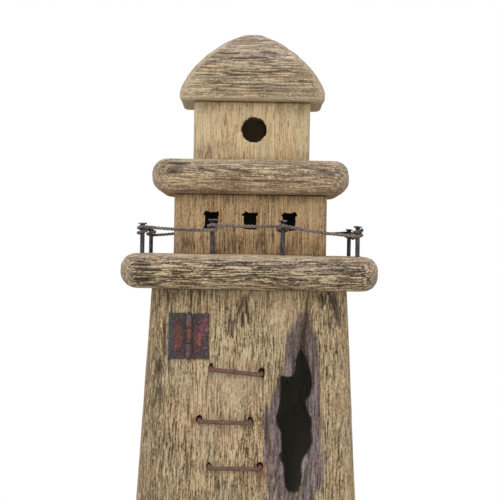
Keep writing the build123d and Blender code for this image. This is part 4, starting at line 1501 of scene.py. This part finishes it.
def floor():
    """A plain pale floor under the base, which keeps the object's shadow and fades to white round it."""
    rim = FLOOR_RADIUS * np.column_stack([circle(FLOOR_SIDES), np.zeros(FLOOR_SIDES)])
    ground = new_object("floor", mesh_of("floor", rim, [tuple(range(len(rim)))]))
    finish = Finish("pale_floor")
    mottle = finish.noise((300, 300, 300), detail=2)
    shade = finish.mix(mottle, colour(238, 237, 234), colour(246, 245, 243))
    material = finish.surface(shade, roughness=0.8, height=mottle, bump=0.1)
    output = finish.nodes["Material Output"]
    pale = output.inputs["Surface"].links[0].from_socket
    away = finish.nodes.new("ShaderNodeVectorMath")
    away.operation = "LENGTH"
    finish.links.new(finish.place, away.inputs[0])
    fade = finish.nodes.new("ShaderNodeMixShader")
    finish.links.new(finish.rise(away.outputs["Value"], *FLOOR_FADE), fade.inputs[0])
    finish.links.new(pale, fade.inputs[1])
    finish.links.new(seen_white(material.node_tree, pale, "ShaderNodeEmission"), fade.inputs[2])
    finish.links.new(fade.outputs[0], output.inputs["Surface"])
    ground.data.materials.append(material)


def lamp(name, place, size, power):
    """A soft square lamp aimed at the middle of the object."""
    light = bpy.data.lights.new(name, "AREA")
    light.size = size * MM
    light.energy = power
    holder = new_object(name, light)
    holder.location = Vector(place) * MM
    middle = (cad_box[0] + cad_box[1]) / 2
    holder.rotation_euler = (middle - holder.location).to_track_quat("-Z", "Y").to_euler()


def camera():
    """The photograph's camera."""
    data = bpy.data.cameras.new("camera")
    data.lens = CAMERA_LENS
    data.sensor_width = CAMERA_SENSOR
    data.clip_end = CAMERA_REACH * MM
    holder = new_object("camera", data)
    pitch = Matrix.Rotation(radians(90 + CAMERA_PITCH), 4, "X")
    roll = Matrix.Rotation(radians(CAMERA_ROLL), 4, "Z")
    holder.matrix_world = Matrix.Translation(Vector(CAMERA_PLACE) * MM) @ (pitch @ roll)
    bpy.context.scene.camera = holder


# The whole


def dress(piece, node, material):
    """Puts a new piece in the place of a CAD node."""
    piece.data.materials.append(material)
    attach(piece, "root")
    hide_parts(node)


def paint(node, material):
    """Gives a CAD node that stays a better finish."""
    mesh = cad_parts[node].data
    mesh.materials.clear()
    mesh.materials.append(material)


def build():
    """Every piece and its finish."""
    tower_wood, slab_wood = wood("tower_wood", TOWER_WOOD), wood("slab_wood", SLAB_WOOD)
    dress(front_board(), "tower_front_board", tower_wood)
    for side, name in enumerate(("right", "back", "left"), start=1):
        dress(plain_board(side, name), f"tower_{name}_board", tower_wood)
    deck = slab("gallery_deck", DECK_SEED, "tower_top_board", "watch_room_block", DECK_WEATHER)
    dress(deck, "gallery_deck", slab_wood)
    upper = slab("upper_deck", UPPER_SEED, "watch_room_block", "lantern_block", UPPER_WEATHER)
    dress(upper, "upper_deck", slab_wood)
    dress(watch_room(), "watch_room_block", wood("watch_room_wood", WATCH_ROOM_WOOD))
    dress(lantern(), "lantern_block", wood("lantern_wood", LANTERN_WOOD))
    dress(cap(), "domed_cap", wood("cap_wood", CAP_WOOD))

    rust_finish, paint_finish = rust(), old_paint()
    nail_steel = steel("nail_steel", colour(42, 39, 46), colour(76, 72, 80))
    hinge_steel = steel("hinge_steel", colour(58, 40, 38), colour(92, 58, 52))
    dark_steel = steel("dark_steel", colour(38, 34, 33), colour(74, 66, 62))
    for n in range(RUNG_COUNT):
        node = f"ladder_rung_{n + 1}"
        dress(corroded(node, RUNG_PITTING, RUNG_SEED + n), node, rust_finish)
    for n, node in enumerate(("hinge_left_leaf", "hinge_right_leaf")):
        dress(hinge_leaf(node, HINGE_SEED + SEED_STEP * n), node, paint_finish)
    for n in range(POST_COUNT):
        dress(rail_nail(n + 1), f"rail_nail_{n + 1}", nail_steel)
    dress(rail_cord(), "rail_cord", twine())

    for node in ("tower_floor_board", "tower_top_board"):
        paint(node, tower_wood)
    for node in ("deck_dowels", "upper_deck_dowels", "cap_dowels"):
        paint(node, slab_wood)
    for node in ("front_brads", "back_brads", "left_brads", "right_brads"):
        paint(node, dark_steel)
    for node in ("hinge_pin", "hinge_nails"):
        paint(node, hinge_steel)


build()
sky()
floor()
for one in LAMPS:
    lamp(*one)
camera()
bpy.context.scene.view_settings.view_transform = "Standard"
